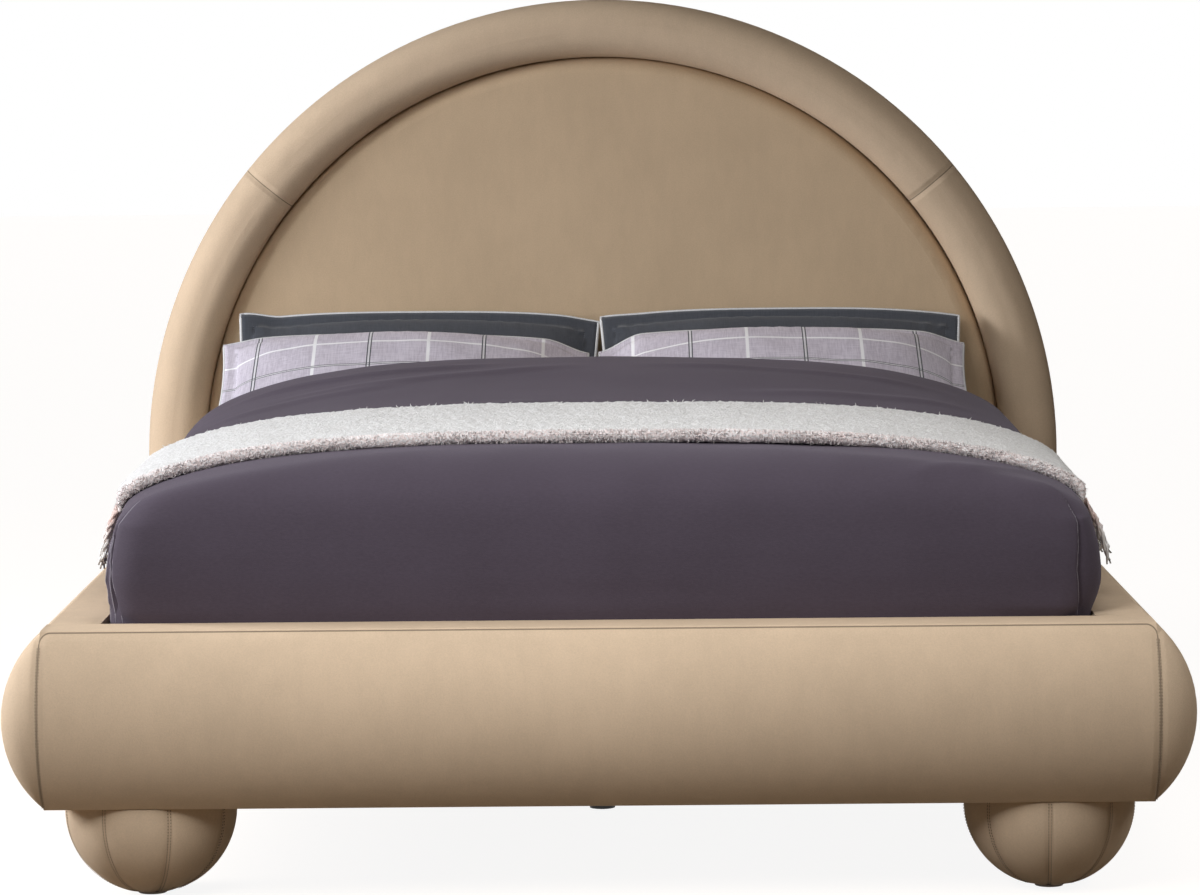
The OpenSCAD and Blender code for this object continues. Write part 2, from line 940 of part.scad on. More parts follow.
// Middle height of a pillow: a straight rise in front, a curling one against the headboard
function front_mid(s) = bed_top + soft_gap + flange_t / 2 + front_pillow_rise * s;
function back_mid(s) = bed_top + soft_gap + flange_t / 2 + back_pillow_rise * (0.18 * s + 0.82 * s * s);
function pillow_mid(back, u, s) = max((back ? back_mid(s) : front_mid(s)) - pillow_droop * pow(abs(u), 3),
                                      bed_top + soft_gap + flange_t / 2);
function half_thick(u, s) = flange_t / 2 + (pillow_t - flange_t) / 2 * swell(u, s);

function across_stops() = let (e = 1 - 2 * flange_w / pillow_w)
    [-1, -e, -0.82, -0.62, -0.38, -0.13, 0.13, 0.38, 0.62, 0.82, e, 1];
function along_stops(l) = let (e = flange_w / l)
    [0, e, 0.13, 0.25, 0.4, 0.57, 0.73, 0.86, 1 - e, 1];

// One side of a pillow, +1 for the upper one
function pillow_grid(back, x, y, l, side) = let (e = 1 - 2 * flange_w / pillow_w, f = flange_w / l) [
    for (u = across_stops()) [
        for (s = along_stops(l))
            let (
                inner_u = u / e,
                inner_s = (s - f) / (1 - 2 * f),
                flat = abs(inner_u) >= 1 || inner_s <= 0 || inner_s >= 1,
                h = flat ? flange_t / 2 : half_thick(inner_u, inner_s),
                mid = pillow_mid(back, u, s),
                px = x + u * (pillow_w / 2 - pull_in * (1 - pow(2 * s - 1, 2))),
                py = y + l / 2 + (s - 0.5) * (l - 2 * pull_in * (1 - u * u))
            )
            [px, py, side > 0 ? mid + h : max(mid - h, bed_top + soft_gap)]
    ]
];

module pillow(back, x, y, l) {
    upper = pillow_grid(back, x, y, l, 1);
    lower = pillow_grid(back, x, y, l, -1);
    polyhedron(concat(flatten(upper), flatten(lower)), sheet_faces(len(upper), len(upper[0])), 3);
}

function pillow_x(shift, gap, side) = shift + side * (pillow_w + gap) / 2;
back_pillow_y = roll_y - 4 - back_pillow_l;

module front_pillow(side) {
    color(lilac)
        pillow(false, pillow_x(front_pillow_shift, front_pillow_gap, side), front_pillow_y, front_pillow_l);
}

module back_pillow(side) {
    color(charcoal)
        pillow(true, pillow_x(back_pillow_shift, back_pillow_gap, side), back_pillow_y, back_pillow_l);
}

// Duvet: half-lines run from its perimeter at the hem up over the shoulder to a middle line

// Places along each side, from the head edge down to the throw's near edge
throw_steps = 4;
throw_far = throw_near + throw_w;
cover_l = duvet_l - front_pillow_y;
head_stops = [0, 0.16, 0.4, 0.72, 1.1, 1.85];
free_l = duvet_l - cover_l * head_stops[5] - throw_far;
side_stops = concat([for (h = head_stops) duvet_l - h * cover_l],
                    [for (i = [2, 1]) throw_far + free_l * i / 3],
                    [for (i = [0:throw_steps]) throw_far - throw_w * i / throw_steps]);
side_n = len(side_stops);
corner_in_x = mattress_w / 2 - mattress_corner_r;
corner_in_y = foot_gap + mattress_corner_r;
foot_stops = [-1, -0.7, -0.36, 0, 0.36, 0.7, 1];
corner_turn = 22.5;

// Each perimeter entry: centre x, centre y, direction in degrees, stretch
duvet_rim = concat(
    [for (y = side_stops) [-corner_in_x, y, 180, 1]],
    [[-corner_in_x, (throw_near + corner_in_y) / 2, 180, 1], [-corner_in_x, corner_in_y, 180, 1]],
    [for (i = [1:3]) [-corner_in_x, corner_in_y, 180 + i * corner_turn, 1 / cos(corner_turn / 2)]],
    [for (f = foot_stops) [f * corner_in_x, corner_in_y, 270, 1]],
    [for (i = [1:3]) [corner_in_x, corner_in_y, 270 + i * corner_turn, 1 / cos(corner_turn / 2)]],
    [[corner_in_x, corner_in_y, 0, 1], [corner_in_x, (throw_near + corner_in_y) / 2, 0, 1]],
    [for (i = [side_n - 1:-1:0]) [corner_in_x, side_stops[i], 0, 1]]
);
rim_n = len(duvet_rim);

function rim_point(k, r) = let (c = duvet_rim[k])
    [c[0] + r * c[3] * cos(c[2]), c[1] + r * c[3] * sin(c[2])];
function spine_y(k) = k < side_n ? side_stops[k] : k >= rim_n - side_n ? side_stops[rim_n - 1 - k] : throw_near;

// Radii of the skirt outside and inside, from the mattress corner's centre
slot_r = mattress_corner_r + min(side_gap, foot_gap) - 2.2;
skin_r = mattress_corner_r + 2.5 * soft_gap;
// Each level: height, and how far it stands out at the foot and further up the sides
hem_levels = [
    [duvet_hem_z, 0, 0],
    [rail_top + 1.5, 0, 0],
    [rail_top + 11, duvet_swell_foot * 0.6, duvet_swell_foot * 0.8],
    [rail_top + 65, duvet_swell_foot, duvet_swell_side],
    [bed_top - 23, duvet_swell_foot - 4, duvet_swell_side - 8],
    [bed_top + duvet_shoulder, -3, duvet_swell_side - 30]
];
side_levels = len(hem_levels);
top_stops = [0.975, 0.92, 0.8, 0.62, 0.42, 0.2];
level_n = side_levels + len(top_stops);

function ease(a, b, x) = let (t = min(1, max(0, (x - a) / (b - a)))) t * t * (3 - 2 * t);
function duvet_swell(y, b) = let (l = hem_levels[min(b, side_levels - 1)])
    l[1] + (l[2] - l[1]) * min(1, max(0, (y - corner_in_y) / 780));
function duvet_crown(y) = duvet_crown_foot + (duvet_crown_mid - duvet_crown_foot) * ease(throw_near, throw_far, y)
    + (duvet_crown_head - duvet_crown_mid) * ease(throw_far + 150, duvet_l - 30, y)
    - 8 * ease(duvet_l - 30, duvet_l, y);
function shoulder_fall(t) = pow(max(0, 1 - pow(t, 3)), 0.55);

// Gathered folds where the skirt is tucked at the two foot corners
function corner_fold(k, b) = let (a = duvet_rim[k][2])
    b > 1 && b < 5 && (a > 180 && a < 270 || a > 270 && a < 360) ? 1.5 * (1 + cos(a * 8)) : 0;

function duvet_out(k, b) = let (y = spine_y(k), r0 = slot_r + duvet_swell(duvet_rim[k][1], b))
    b < side_levels
    ? let (p = rim_point(k, r0 - corner_fold(k, b))) [p[0], p[1], hem_levels[b][0]]
    : let (t = b < level_n ? top_stops[b - side_levels] : 0, p = rim_point(k, r0), q = [0, y])
        [q[0] + (p[0] - q[0]) * t, q[1] + (p[1] - q[1]) * t,
         bed_top + duvet_shoulder + duvet_crown(y) * shoulder_fall(t)];

// Upper face of the front pillows as the duvet meets it, without the dip between them
function pillow_top(x, y) =
    let (
        c = abs(pillow_x(front_pillow_shift, front_pillow_gap, x < 0 ? -1 : 1)),
        u = min(1, max(0, (abs(x) - c) / (pillow_w / 2))),
        s = (y - front_pillow_y) / front_pillow_l
    )
    s < 0 ? bed_top : pillow_mid(false, u, min(s, 0.5)) + (s > 0.5 ? front_pillow_rise * (s - 0.5) : 0)
        + half_thick(u, min(s, 0.5));

function duvet_in(k, b) = let (y = spine_y(k), lift_ahead = 14, over_pillow = 10)
    b < side_levels - 1
    ? let (p = rim_point(k, skin_r)) [p[0], p[1], min(hem_levels[b][0], bed_top)]
    : let (
        t = b == side_levels - 1 ? 1 : b < level_n ? top_stops[b - side_levels] : 0,
        p = rim_point(k, skin_r),
        x = p[0] * t,
        yy = y + (p[1] - y) * t
    )
    [x, yy, max(bed_top + soft_gap, pillow_top(x, yy + lift_ahead) + over_pillow)];

function duvet_v(k, b) = b < level_n ? k * level_n + b
    : rim_n * level_n + (k < side_n ? k : k >= rim_n - side_n ? rim_n - 1 - k : side_n - 1);
duvet_half = rim_n * level_n + side_n;

function duvet_points() = concat(
    [for (k = [0:rim_n - 1], b = [0:level_n - 1]) duvet_out(k, b)],
    [for (k = [0:side_n - 1]) duvet_out(k, level_n)],
    [for (k = [0:rim_n - 1], b = [0:level_n - 1]) duvet_in(k, b)],
    [for (k = [0:side_n - 1]) duvet_in(k, level_n)]
);

function duvet_faces() = let (o = duvet_half, n = rim_n - 1) [
    for (k = [0:n - 1], j = [0:level_n - 1])
        each let (a = duvet_v(k, j), b = duvet_v(k, j + 1), c = duvet_v(k + 1, j + 1), d = duvet_v(k + 1, j))
            b == c ? [[a, c, d], [o + a, o + d, o + c]]
                : [[a, b, c], [a, c, d], [o + a, o + c, o + b], [o + a, o + d, o + c]],
    for (k = [0:n - 1])
        each let (a = duvet_v(k, 0), d = duvet_v(k + 1, 0)) [[a, d, o + d], [a, o + d, o + a]],
    for (j = [0:level_n - 1])
        each let (a = duvet_v(0, j), b = duvet_v(0, j + 1)) [[a, o + a, o + b], [a, o + b, b]],
    for (j = [0:level_n - 1])
        each let (a = duvet_v(n, j), b = duvet_v(n, j + 1)) [[a, b, o + b], [a, o + b, o + a]]
];

module duvet() {
    color(plum)
        polyhedron(duvet_points(), duvet_faces(), 3);
}

// Throw: it repeats the duvet's own points, a little further out, between its two edges

throw_first = 3;
lean = [0, 8, 45, 62, 72, 80, 85, 88, 90, 90];
body_of_throw = [0, 0.75, 1, 1, 1, 1, 1, 1, 1, 1];

// i runs across from the left fringe to the right one, j from the far edge to the near edge
function throw_point(i, j, out) =
    let (
        half_n = level_n - throw_first,
        left = i <= half_n,
        b = throw_first + (left ? i : 2 * half_n - i),
        row = side_n - 1 - throw_steps + j,
        k = left ? row : rim_n - 1 - row,
        p = duvet_out(k, b),
        a = lean[b - throw_first],
        side = left ? -1 : 1,
        edge = j == 0 || j == throw_steps ? 0.8 : 1,
        thick = fringe_t + (throw_t - fringe_t) * body_of_throw[b - throw_first] * edge,
        g = soft_gap + (out ? thick : 0)
    )
    [p[0] + side * g * cos(a), p[1], p[2] + g * sin(a)];

module throw() {
    n = 2 * (level_n - throw_first) + 1;
    m = throw_steps + 1;
    upper = [for (i = [0:n - 1]) [for (j = [0:m - 1]) throw_point(i, j, true)]];
    lower = [for (i = [0:n - 1]) [for (j = [0:m - 1]) throw_point(i, j, false)]];
    color(cream)
        polyhedron(concat(flatten(lower), flatten(upper)), sheet_faces(n, m), 3);
}

// Everything is drawn in the plan above and centred on the origin
module placed() {
    translate([0, shift_y, 0])
        children();
}

placed() foot_rail_board();
placed() mirror([1, 0, 0]) side_board();  // left_rail_board
placed() side_board();  // right_rail_board
placed() foot_rail_formers();
placed() mirror([1, 0, 0]) side_formers();  // left_rail_formers
placed() side_formers();  // right_rail_formers
placed() foot_rail_cover();
placed() mirror([1, 0, 0]) side_cover();  // left_rail_cover
placed() side_cover();  // right_rail_cover
placed() mirror([1, 0, 0]) side_ledge();  // left_slat_ledge
placed() side_ledge();  // right_slat_ledge
placed() corner_blocks();
placed() four_corners() color(steel) corner_bracket();  // corner_brackets
placed() four_corners() color(steel) corner_bolt_set();  // bracket_bolts
placed() headboard_panel();
placed() headboard_arch();
placed() headboard_posts();
placed() headboard_cross_rails();
placed() headboard_upright();
placed() headboard_pad();
placed() mirror([1, 0, 0]) roll_side();  // roll_left
placed() roll_crown();
placed() roll_side();  // roll_right
placed() headboard_back_cloth();
placed() translate([-foot_x, front_foot_y, 0]) foot_cover();  // front_left_foot
placed() translate([foot_x, front_foot_y, 0]) foot_cover();  // front_right_foot
placed() translate([-foot_x, back_foot_y, 0]) foot_cover();  // back_left_foot
placed() translate([foot_x, back_foot_y, 0]) foot_cover();  // back_right_foot
placed() foot_cores();
placed() foot_bolts();
placed() foot_glides();
placed() slat(1);  // slat_01
placed() slat(2);  // slat_02
placed() slat(3);  // slat_03
placed() slat(4);  // slat_04
placed() slat(5);  // slat_05
placed() slat(6);  // slat_06
placed() slat(7);  // slat_07
placed() slat(8);  // slat_08
placed() slat(9);  // slat_09
placed() slat(10);  // slat_10
placed() slat(11);  // slat_11
placed() slat(12);  // slat_12
placed() slat_straps();
placed() centre_beam();
placed() beam_hangers();
placed() centre_legs();
placed() leveller(1);  // leveller_1
placed() leveller(2);  // leveller_2
placed() leveller(3);  // leveller_3
placed() mattress();
placed() duvet();
placed() throw();
placed() front_pillow(-1);  // pillow_front_left
placed() front_pillow(1);  // pillow_front_right
placed() back_pillow(-1);  // pillow_back_left
placed() back_pillow(1);  // pillow_back_right
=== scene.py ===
import json
import math
import random

import bmesh
import bpy
import numpy as np
from mathutils import Matrix, Vector, noise


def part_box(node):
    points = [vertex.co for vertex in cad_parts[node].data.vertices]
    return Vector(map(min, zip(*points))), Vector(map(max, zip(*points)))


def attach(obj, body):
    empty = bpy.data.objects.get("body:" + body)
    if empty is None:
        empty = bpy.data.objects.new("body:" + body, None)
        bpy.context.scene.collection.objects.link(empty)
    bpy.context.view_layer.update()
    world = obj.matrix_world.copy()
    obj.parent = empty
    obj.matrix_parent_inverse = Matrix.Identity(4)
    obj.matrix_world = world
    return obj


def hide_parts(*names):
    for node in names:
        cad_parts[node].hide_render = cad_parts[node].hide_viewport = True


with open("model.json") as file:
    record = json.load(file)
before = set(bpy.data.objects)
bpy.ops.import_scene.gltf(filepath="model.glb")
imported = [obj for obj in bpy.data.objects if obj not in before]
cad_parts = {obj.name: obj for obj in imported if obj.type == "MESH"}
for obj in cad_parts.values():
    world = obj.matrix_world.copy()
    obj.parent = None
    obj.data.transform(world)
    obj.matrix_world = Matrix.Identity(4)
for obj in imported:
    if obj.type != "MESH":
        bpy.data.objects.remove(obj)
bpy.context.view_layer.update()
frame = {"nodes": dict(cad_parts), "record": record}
chance = random.Random(7)

# Sizes of the frame, in metres. Plan depths are counted from the foot rail's inner face.

mattress_low, mattress_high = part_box("mattress")
throw_low, throw_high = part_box("throw")
duvet_low, duvet_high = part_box("duvet")
rail_low, rail_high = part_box("foot_rail_cover")
foot_gap = 0.008
foot_line = mattress_low.y - foot_gap
bed_top = mattress_high.z
rail_top = rail_high.z
half_mattress = mattress_high.x
hem_z = duvet_low.z
duvet_end = duvet_high.y - foot_line
throw_near = throw_low.y - foot_line
throw_far = throw_high.y - foot_line
throw_long = 1.95

# Height of the headboard arch's middle, and how many degrees its roll's seams rise from the level
arch_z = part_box("roll_crown")[1].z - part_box("roll_right")[1].x
roll_seam_turn = 39.4

# Seam round the foot rail's front panel: radius of its upper corners, and its distance below the rail's top
seam_corner = 0.016
seam_below = 0.003

# Width of a pillow, the least height of its middle over the mattress, and how far its ends droop
pillow_wide = 0.716
pillow_lift = 0.0034
pillow_droop = 0.018

# Front pillows, which the duvet is drawn over: middles, near edge, depth, and rise to the far edge
front_x = (-0.384, 0.354)
front_near = 1.470
front_deep = 0.410
front_rise = 0.186


# Shader values that Python's own signs work on


class Value:
    def __init__(self, nodes, socket):
        self.nodes = nodes
        self.socket = socket

    def work(self, sign, *others):
        return self.nodes.node("Math", dict(enumerate((self,) + others)), {"operation": sign})

    def __add__(self, other):
        return self.work("ADD", other)

    def __sub__(self, other):
        return self.work("SUBTRACT", other)

    def __rsub__(self, other):
        return (self * -1) + other

    def __mul__(self, other):
        return self.work("MULTIPLY", other)

    def __truediv__(self, other):
        return self.work("DIVIDE", other)

    def __pow__(self, other):
        return self.work("POWER", other)

    def __abs__(self):
        return self.work("ABSOLUTE")

    def __lt__(self, other):
        return self.work("LESS_THAN", other)

    def least(self, other):
        return self.work("MINIMUM", other)

    def most(self, other):
        return self.work("MAXIMUM", other)

    def repeat(self, pitch):
        """Distance from the nearest of evenly pitched lines"""
        return abs(self.work("PINGPONG", pitch / 2))

    def ridges(self, pitch):
        """Evenly pitched ridges, from 0 to 1"""
        return (self * 2 * math.pi / pitch).work("SINE") * 0.5 + 0.5

    def soft_step(self, start, end):
        settings = {"interpolation_type": "SMOOTHSTEP", "clamp": True}
        return self.nodes.node("MapRange", {0: self, 1: start, 2: end, 3: 0.0, 4: 1.0}, settings)


class Nodes:
    """The nodes of a material or of the world"""

    def __init__(self, holder):
        holder.use_nodes = True
        self.tree = holder.node_tree

    def node(self, kind, values, settings=None, out=0):
        made = self.tree.nodes.new("ShaderNode" + kind)
        for key, value in (settings or {}).items():
            setattr(made, key, value)
        for key, value in values.items():
            if isinstance(value, Value):
                self.tree.links.new(value.socket, made.inputs[key])
            else:
                made.inputs[key].default_value = value
        return Value(self, made.outputs[out])

    def seen(self):
        """1 where the camera, a reflection or a clear piece shows a surface, and 0 for the light it gives"""
        path = self.node("LightPath", {}).socket.node.outputs
        camera, glossy, clear = (Value(self, path["Is %s Ray" % kind]) for kind in ("Camera", "Glossy", "Transmission"))
        return (camera + glossy + clear).least(1.0)


class Finish(Nodes):
    """One material, named for the cloth, wood or metal it is"""

    def __init__(self, name, roughness, **constants):
        self.material = bpy.data.materials.new(name)
        super().__init__(self.material)
        self.shader = next(n for n in self.tree.nodes if n.type == "BSDF_PRINCIPLED")
        self.shader.inputs["Roughness"].default_value = roughness
        for key, value in constants.items():
            self.shader.inputs[key.replace("_", " ").title().replace("Ior", "IOR")].default_value = value
        self.point = self.node("TexCoord", {}, out="Object")
        split = self.node("SeparateXYZ", {0: self.point}).socket.node
        self.x, self.y, self.z = (Value(self, part) for part in split.outputs)

    def grain(self, scale, detail=2.0, roughness=0.5, stretch=None):
        point = self.point
        if stretch:
            point = self.node("Mapping", {"Vector": point, "Scale": stretch})
        return self.node("TexNoise", {"Vector": point, "Scale": scale, "Detail": detail, "Roughness": roughness})

    def blend(self, share, first, second):
        """Colour from the first to the second, each of them a Value or red, green and blue"""
        first, second = (c if isinstance(c, Value) else rgb(*c) for c in (first, second))
        return self.node("Mix", {0: share, 6: first, 7: second}, {"data_type": "RGBA"}, out=2)

    def feed(self, name, value):
        """Links a value to the shader's own input of that name"""
        self.tree.links.new(value.socket, self.shader.inputs[name])
        return self

    def mottle(self, share, first, second):
        return self.feed("Base Color", self.blend(share, first, second))

    def relief(self, height, depth):
        """Bump of that real depth in metres, where the height runs from 0 to 1"""
        return self.feed("Normal", self.node("Bump", {"Height": height, "Distance": depth, "Strength": 1.0}))


def rgb(r, g, b):
    return (r, g, b, 1.0)


def toned(tone, share):
    return tuple(share * c for c in tone)


# Finishes


def velvet_finish(name, tone, seam=None, gathers=None):
    """Short pile: patches of brushed nap, a fine grain, and any seam or gathers pulled into it"""
    seam_line, seam_reach, seam_dip = 0.0010, 0.012, 0.0025
    f = Finish(name, 0.85, specular_ior_level=0.1,
               sheen_weight=0.04, sheen_roughness=0.45, sheen_tint=rgb(1.0, 0.84, 0.68))
    nap = f.grain(5.5, 3.0, 0.55)
    brushed = f.grain(38.0, 3.0, 0.6, (1.0, 1.0, 0.35))
    pile = f.grain(1500.0, 1.0)
    weave = f.grain(420.0, 2.0)
    share = (nap * 0.35 + brushed * 0.25 + weave * 0.40).soft_step(0.3, 0.7)
    cloth = f.blend(share, toned(tone, 0.90), toned(tone, 1.04))
    height = (pile * 0.35 + weave * 0.25 + brushed * 0.4) * 0.0009
    if seam:
        apart = seam(f.x, f.y, f.z)
        cloth = f.blend((apart < seam_line) * 0.75, cloth, toned(tone, 0.22))
        height = height + apart.soft_step(0.0, seam_reach) * seam_dip
    if gathers:
        height = height + gathers(f.x, f.y, f.z)
    return f.feed("Base Color", cloth).relief(height, 1.0).material


def rail_seam_line(x, y, z):
    """Distance from the seam round the foot rail's front panel, upright at its ends and round at its upper corners"""
    over = abs(x) - (rail_high.x - seam_corner)
    up = z - (rail_top - seam_below - seam_corner)
    corner = (over.most(0.0) ** 2 + up.most(0.0) ** 2) ** 0.5
    return abs(corner + over.most(up).least(0.0) - seam_corner)


def side_seam_line(x, y, z):
    """Distance from the upright part of the same seam, on the side rails"""
    return abs(abs(x) - rail_high.x).most(z - (rail_top - seam_below - seam_corner))


def roll_seam_line(x, y, z):
    """Distance from the two slanting seams of the headboard roll"""
    turn = math.radians(roll_seam_turn)
    return abs(abs(x) * math.sin(turn) - (z - arch_z) * math.cos(turn))


def corner_gathers(x, y, z):
    """Small gathers on the side rails where the cover is drawn round the inner foot corners"""
    reach, width, top_band, pitch, depth = 0.16, 0.075, 0.03, 0.013, 0.0045
    near = (y - foot_line).soft_step(reach, 0.0) * (z - rail_top + top_band).soft_step(0.0, 0.02)
    inner = (abs(x) - half_mattress).soft_step(width, 0.0)
    return near * inner * (y + abs(x) * 0.4).ridges(pitch) * depth


def wood_finish(name, pale, brown, plies=None):
    """Planed wood: long grain along the piece, or the edges of plies of that thickness"""
    f = Finish(name, 0.62)
    rings = f.grain(7.0, 4.0, 0.6, (2.0, 2.0, 30.0) if plies else (1.4, 1.4, 14.0))
    fibre = f.grain(160.0, 2.0, 0.5, (0.15, 0.15, 1.0))
    share = (rings * 0.7 + fibre * 0.3).soft_step(0.3, 0.7)
    if plies:
        share = share * 0.6 + (f.x.repeat(plies) < plies * 0.2) * 0.25
    return f.mottle(share, pale, brown).relief(fibre, 0.0004).material


def steel_finish():
    f = Finish("zinc plated steel", 0.35, metallic=1.0)
    cloud = f.grain(60.0, 4.0, 0.7)
    f.mottle(cloud, (0.50, 0.51, 0.54), (0.66, 0.67, 0.69)).feed("Roughness", cloud * 0.2 + 0.28)
    return f.relief(f.grain(900.0), 0.0001).material


def nylon_finish(name, dark, light):
    f = Finish(name, 0.5)
    f.mottle(f.grain(90.0), dark, light)
    return f.relief(f.grain(1800.0), 0.00015).material


def webbing_finish():
    f = Finish("woven webbing", 0.9)
    weft, warp = f.y.ridges(0.004), f.x.ridges(0.0025)
    f.mottle(weft, (0.035, 0.03, 0.027), (0.07, 0.062, 0.055))
    return f.relief(weft * 0.6 + warp * 0.4, 0.0005).material


def ticking_finish():
    """Mattress cloth, quilted in diamonds that meet along the edges of its block"""
    inset, groove_reach, quilt_depth = 0.003, 0.018, 0.004
    pitch = (half_mattress - inset) / 6
    f = Finish("quilted ticking", 0.85, sheen_weight=0.1)
    a, b, c = f.x + half_mattress - inset, f.y - mattress_low.y - inset, f.z - bed_top
    quilting = (a + b + c).repeat(pitch).least((a - b + c).repeat(pitch)).least((a + b - c).repeat(pitch))
    groove = quilting.soft_step(0.0, groove_reach)
    thread = f.grain(900.0, 1.0)
    # The cloth is painted darker down in the quilting grooves, following the relief's depth: painted shade
    f.mottle(groove, (0.62, 0.60, 0.56), (0.82, 0.80, 0.76))
    return f.relief(groove * 0.9 + thread * 0.1, quilt_depth).material


def duvet_finish():
    """Brushed cotton in a deep plum grey"""
    f = Finish("brushed plum cotton", 0.8, specular_ior_level=0.1,
               sheen_weight=0.06, sheen_roughness=0.5, sheen_tint=rgb(0.95, 0.9, 1.0))
    cloud = f.grain(4.0, 3.0, 0.55)
    slub = f.grain(420.0, 2.0, 0.5, (0.35, 1.0, 1.0))
    nap = f.grain(1100.0, 1.0)
    share = (cloud * 0.4 + slub * 0.35 + nap * 0.25).soft_step(0.3, 0.7)
    f.mottle(share, (0.068, 0.054, 0.071), (0.084, 0.067, 0.089))
    return f.relief(slub * 0.4 + nap * 0.6, 0.0004).material


def pile_finish(name, deep, pale, size):
    """Curly wool pile, with painted shade: deeper in tone down between the curls, where its relief is low"""
    f = Finish(name, 0.95, sheen_weight=0.3, sheen_roughness=0.6)
    curl = f.node("TexVoronoi", {"Vector": f.point, "Scale": size})
    fleck = f.grain(size * 2.2, 3.0, 0.6)
    cloud = f.grain(9.0, 2.0)
    share = (curl * -0.9 + fleck * 0.7 + cloud * 0.3 + 0.45).soft_step(0.25, 0.85)
    return f.mottle(share, deep, pale).relief(fleck * 0.6 - curl * 0.4 + 0.4, 0.003).material


def fringe_finish():
    """Fringe yarn, pink-brown where it leaves the cloth and paler towards its ends"""
    f = Finish("fringe yarn", 0.95, sheen_weight=0.2)
    twist = f.grain(700.0, 2.0)
    fleck = f.grain(120.0, 3.0)
    share = ((bed_top + 0.01 - f.z) / 0.09 + fleck * 0.5 - 0.25).soft_step(0.1, 0.8)
    return f.mottle(share, (0.80, 0.60, 0.54), (0.96, 0.94, 0.91)).relief(twist, 0.001).material


def check_finish(name, white_x, dark_x):
    """Slubbed lilac cotton with a window check: white lines, and pairs of thin dark ones with white between"""
    white_along, dark_along, pitch = 0.335, 0.245, 0.221
    # each first for the lines along the pillow's depth, then for those along its width
    white_half, band_half = (0.0032, 0.0030), (0.0040, 0.0036)
    thin_off, thin_half = (0.0030, 0.0027), (0.0012, 0.0010)
    slope = math.atan2(front_rise, front_deep)
    f = Finish(name, 0.85, sheen_weight=0.08)
    along = (f.y - (front_near + foot_line)) * math.cos(slope) + (f.z - bed_top) * math.sin(slope)
    warp = f.grain(420.0, 2.0, 0.6, (1.0, 0.06, 0.06))
    weft = f.grain(420.0, 2.0, 0.6, (0.06, 1.0, 1.0))
    cloud = f.grain(6.0, 2.0)
    cloth = f.blend((warp * 0.45 + weft * 0.4 + cloud * 0.15).soft_step(0.36, 0.64),
                    (0.48, 0.43, 0.50), (0.66, 0.61, 0.68))

    def lines(apart, half):
        return (apart[0] < half[0]).most(apart[1] < half[1])

    white = (f.x - white_x).repeat(pitch), (along - white_along).repeat(pitch)
    band = (f.x - dark_x).repeat(pitch), (along - dark_along).repeat(pitch)
    thin = [abs(apart - off) for apart, off in zip(band, thin_off)]
    cloth = f.blend(lines(white, white_half) * 0.95, cloth, (0.92, 0.91, 0.92))
    cloth = f.blend(lines(band, band_half) * 0.7, cloth, (0.74, 0.73, 0.74))
    cloth = f.blend(lines(thin, thin_half) * 0.95, cloth, (0.025, 0.028, 0.035))
    return f.feed("Base Color", cloth).relief(warp * 0.5 + weft * 0.5, 0.0006).material


def cotton_finish(name, dark, light):
    """Plain woven cotton"""
    f = Finish(name, 0.85, sheen_weight=0.1)
    warp = f.grain(500.0, 2.0, 0.6, (1.0, 0.08, 0.08))
    weft = f.grain(500.0, 2.0, 0.6, (0.08, 1.0, 1.0))
    cloud = f.grain(7.0, 3.0)
    share = (warp * 0.35 + weft * 0.35 + cloud * 0.3).soft_step(0.35, 0.65)
    return f.mottle(share, dark, light).relief(warp * 0.5 + weft * 0.5, 0.0006).material


def thread_finish(name, tone):
    f = Finish(name, 0.7, sheen_weight=0.2)
    twist = (f.x + f.y + f.z).ridges(0.0012)
    return f.mottle(twist, toned(tone, 0.8), tone).relief(twist, 0.0002).material


beige = (0.68, 0.52, 0.365)
velvet = velvet_finish("beige velvet", beige)
rail_velvet = velvet_finish("beige velvet, foot rail", beige, rail_seam_line)
side_velvet = velvet_finish("beige velvet, side rails", beige, side_seam_line, corner_gathers)
roll_velvet = velvet_finish("beige velvet, roll", beige, roll_seam_line)
# The headboard pad has the same beige velvet, painted darker and browner: painted shade
shaded_pad_velvet = velvet_finish("beige velvet, painted shade", (0.63, 0.47, 0.31))
# The glides are painted the brown of the balls' shaded undersides, so that each reads as the shaded bottom of its ball:
# painted shade
glide_nylon_painted_shade = nylon_finish("brown nylon, painted ball shade", (0.15, 0.10, 0.06), (0.19, 0.13, 0.08))
ticking = ticking_finish()
plum = duvet_finish()
# Both piles are painted deeper in tone between the curls: painted shade. The near edge's wool has its own pink tone,
# and is also painted paler than the body's so that its shaded front reads lit: painted light
wool = pile_finish("cream wool pile, painted shade", (0.69, 0.67, 0.645), (0.86, 0.85, 0.835), 210.0)
wool_edge = pile_finish("mottled wool pile, painted light and shade", (0.86, 0.74, 0.71), (0.96, 0.94, 0.93), 260.0)
fringe_wool = fringe_finish()
lilac_left = check_finish("lilac check, left", -0.555, -0.669)
lilac_right = check_finish("lilac check, right", 0.062, 0.1735)
charcoal = cotton_finish("charcoal cotton", (0.030, 0.034, 0.044), (0.048, 0.053, 0.066))
# Pale plum for the duvet's corner tubes: painted highlight on the fold and seam edges
highlight_cord_cloth = cotton_finish("pale plum, painted highlight", (0.22, 0.20, 0.235), (0.30, 0.27, 0.31))
edge_tape = cotton_finish("white edge tape", (0.62, 0.62, 0.62), (0.78, 0.78, 0.78))
seam_thread = thread_finish("dark tan thread", (0.12, 0.070, 0.035))
pillow_thread = thread_finish("grey thread", (0.10, 0.10, 0.12))

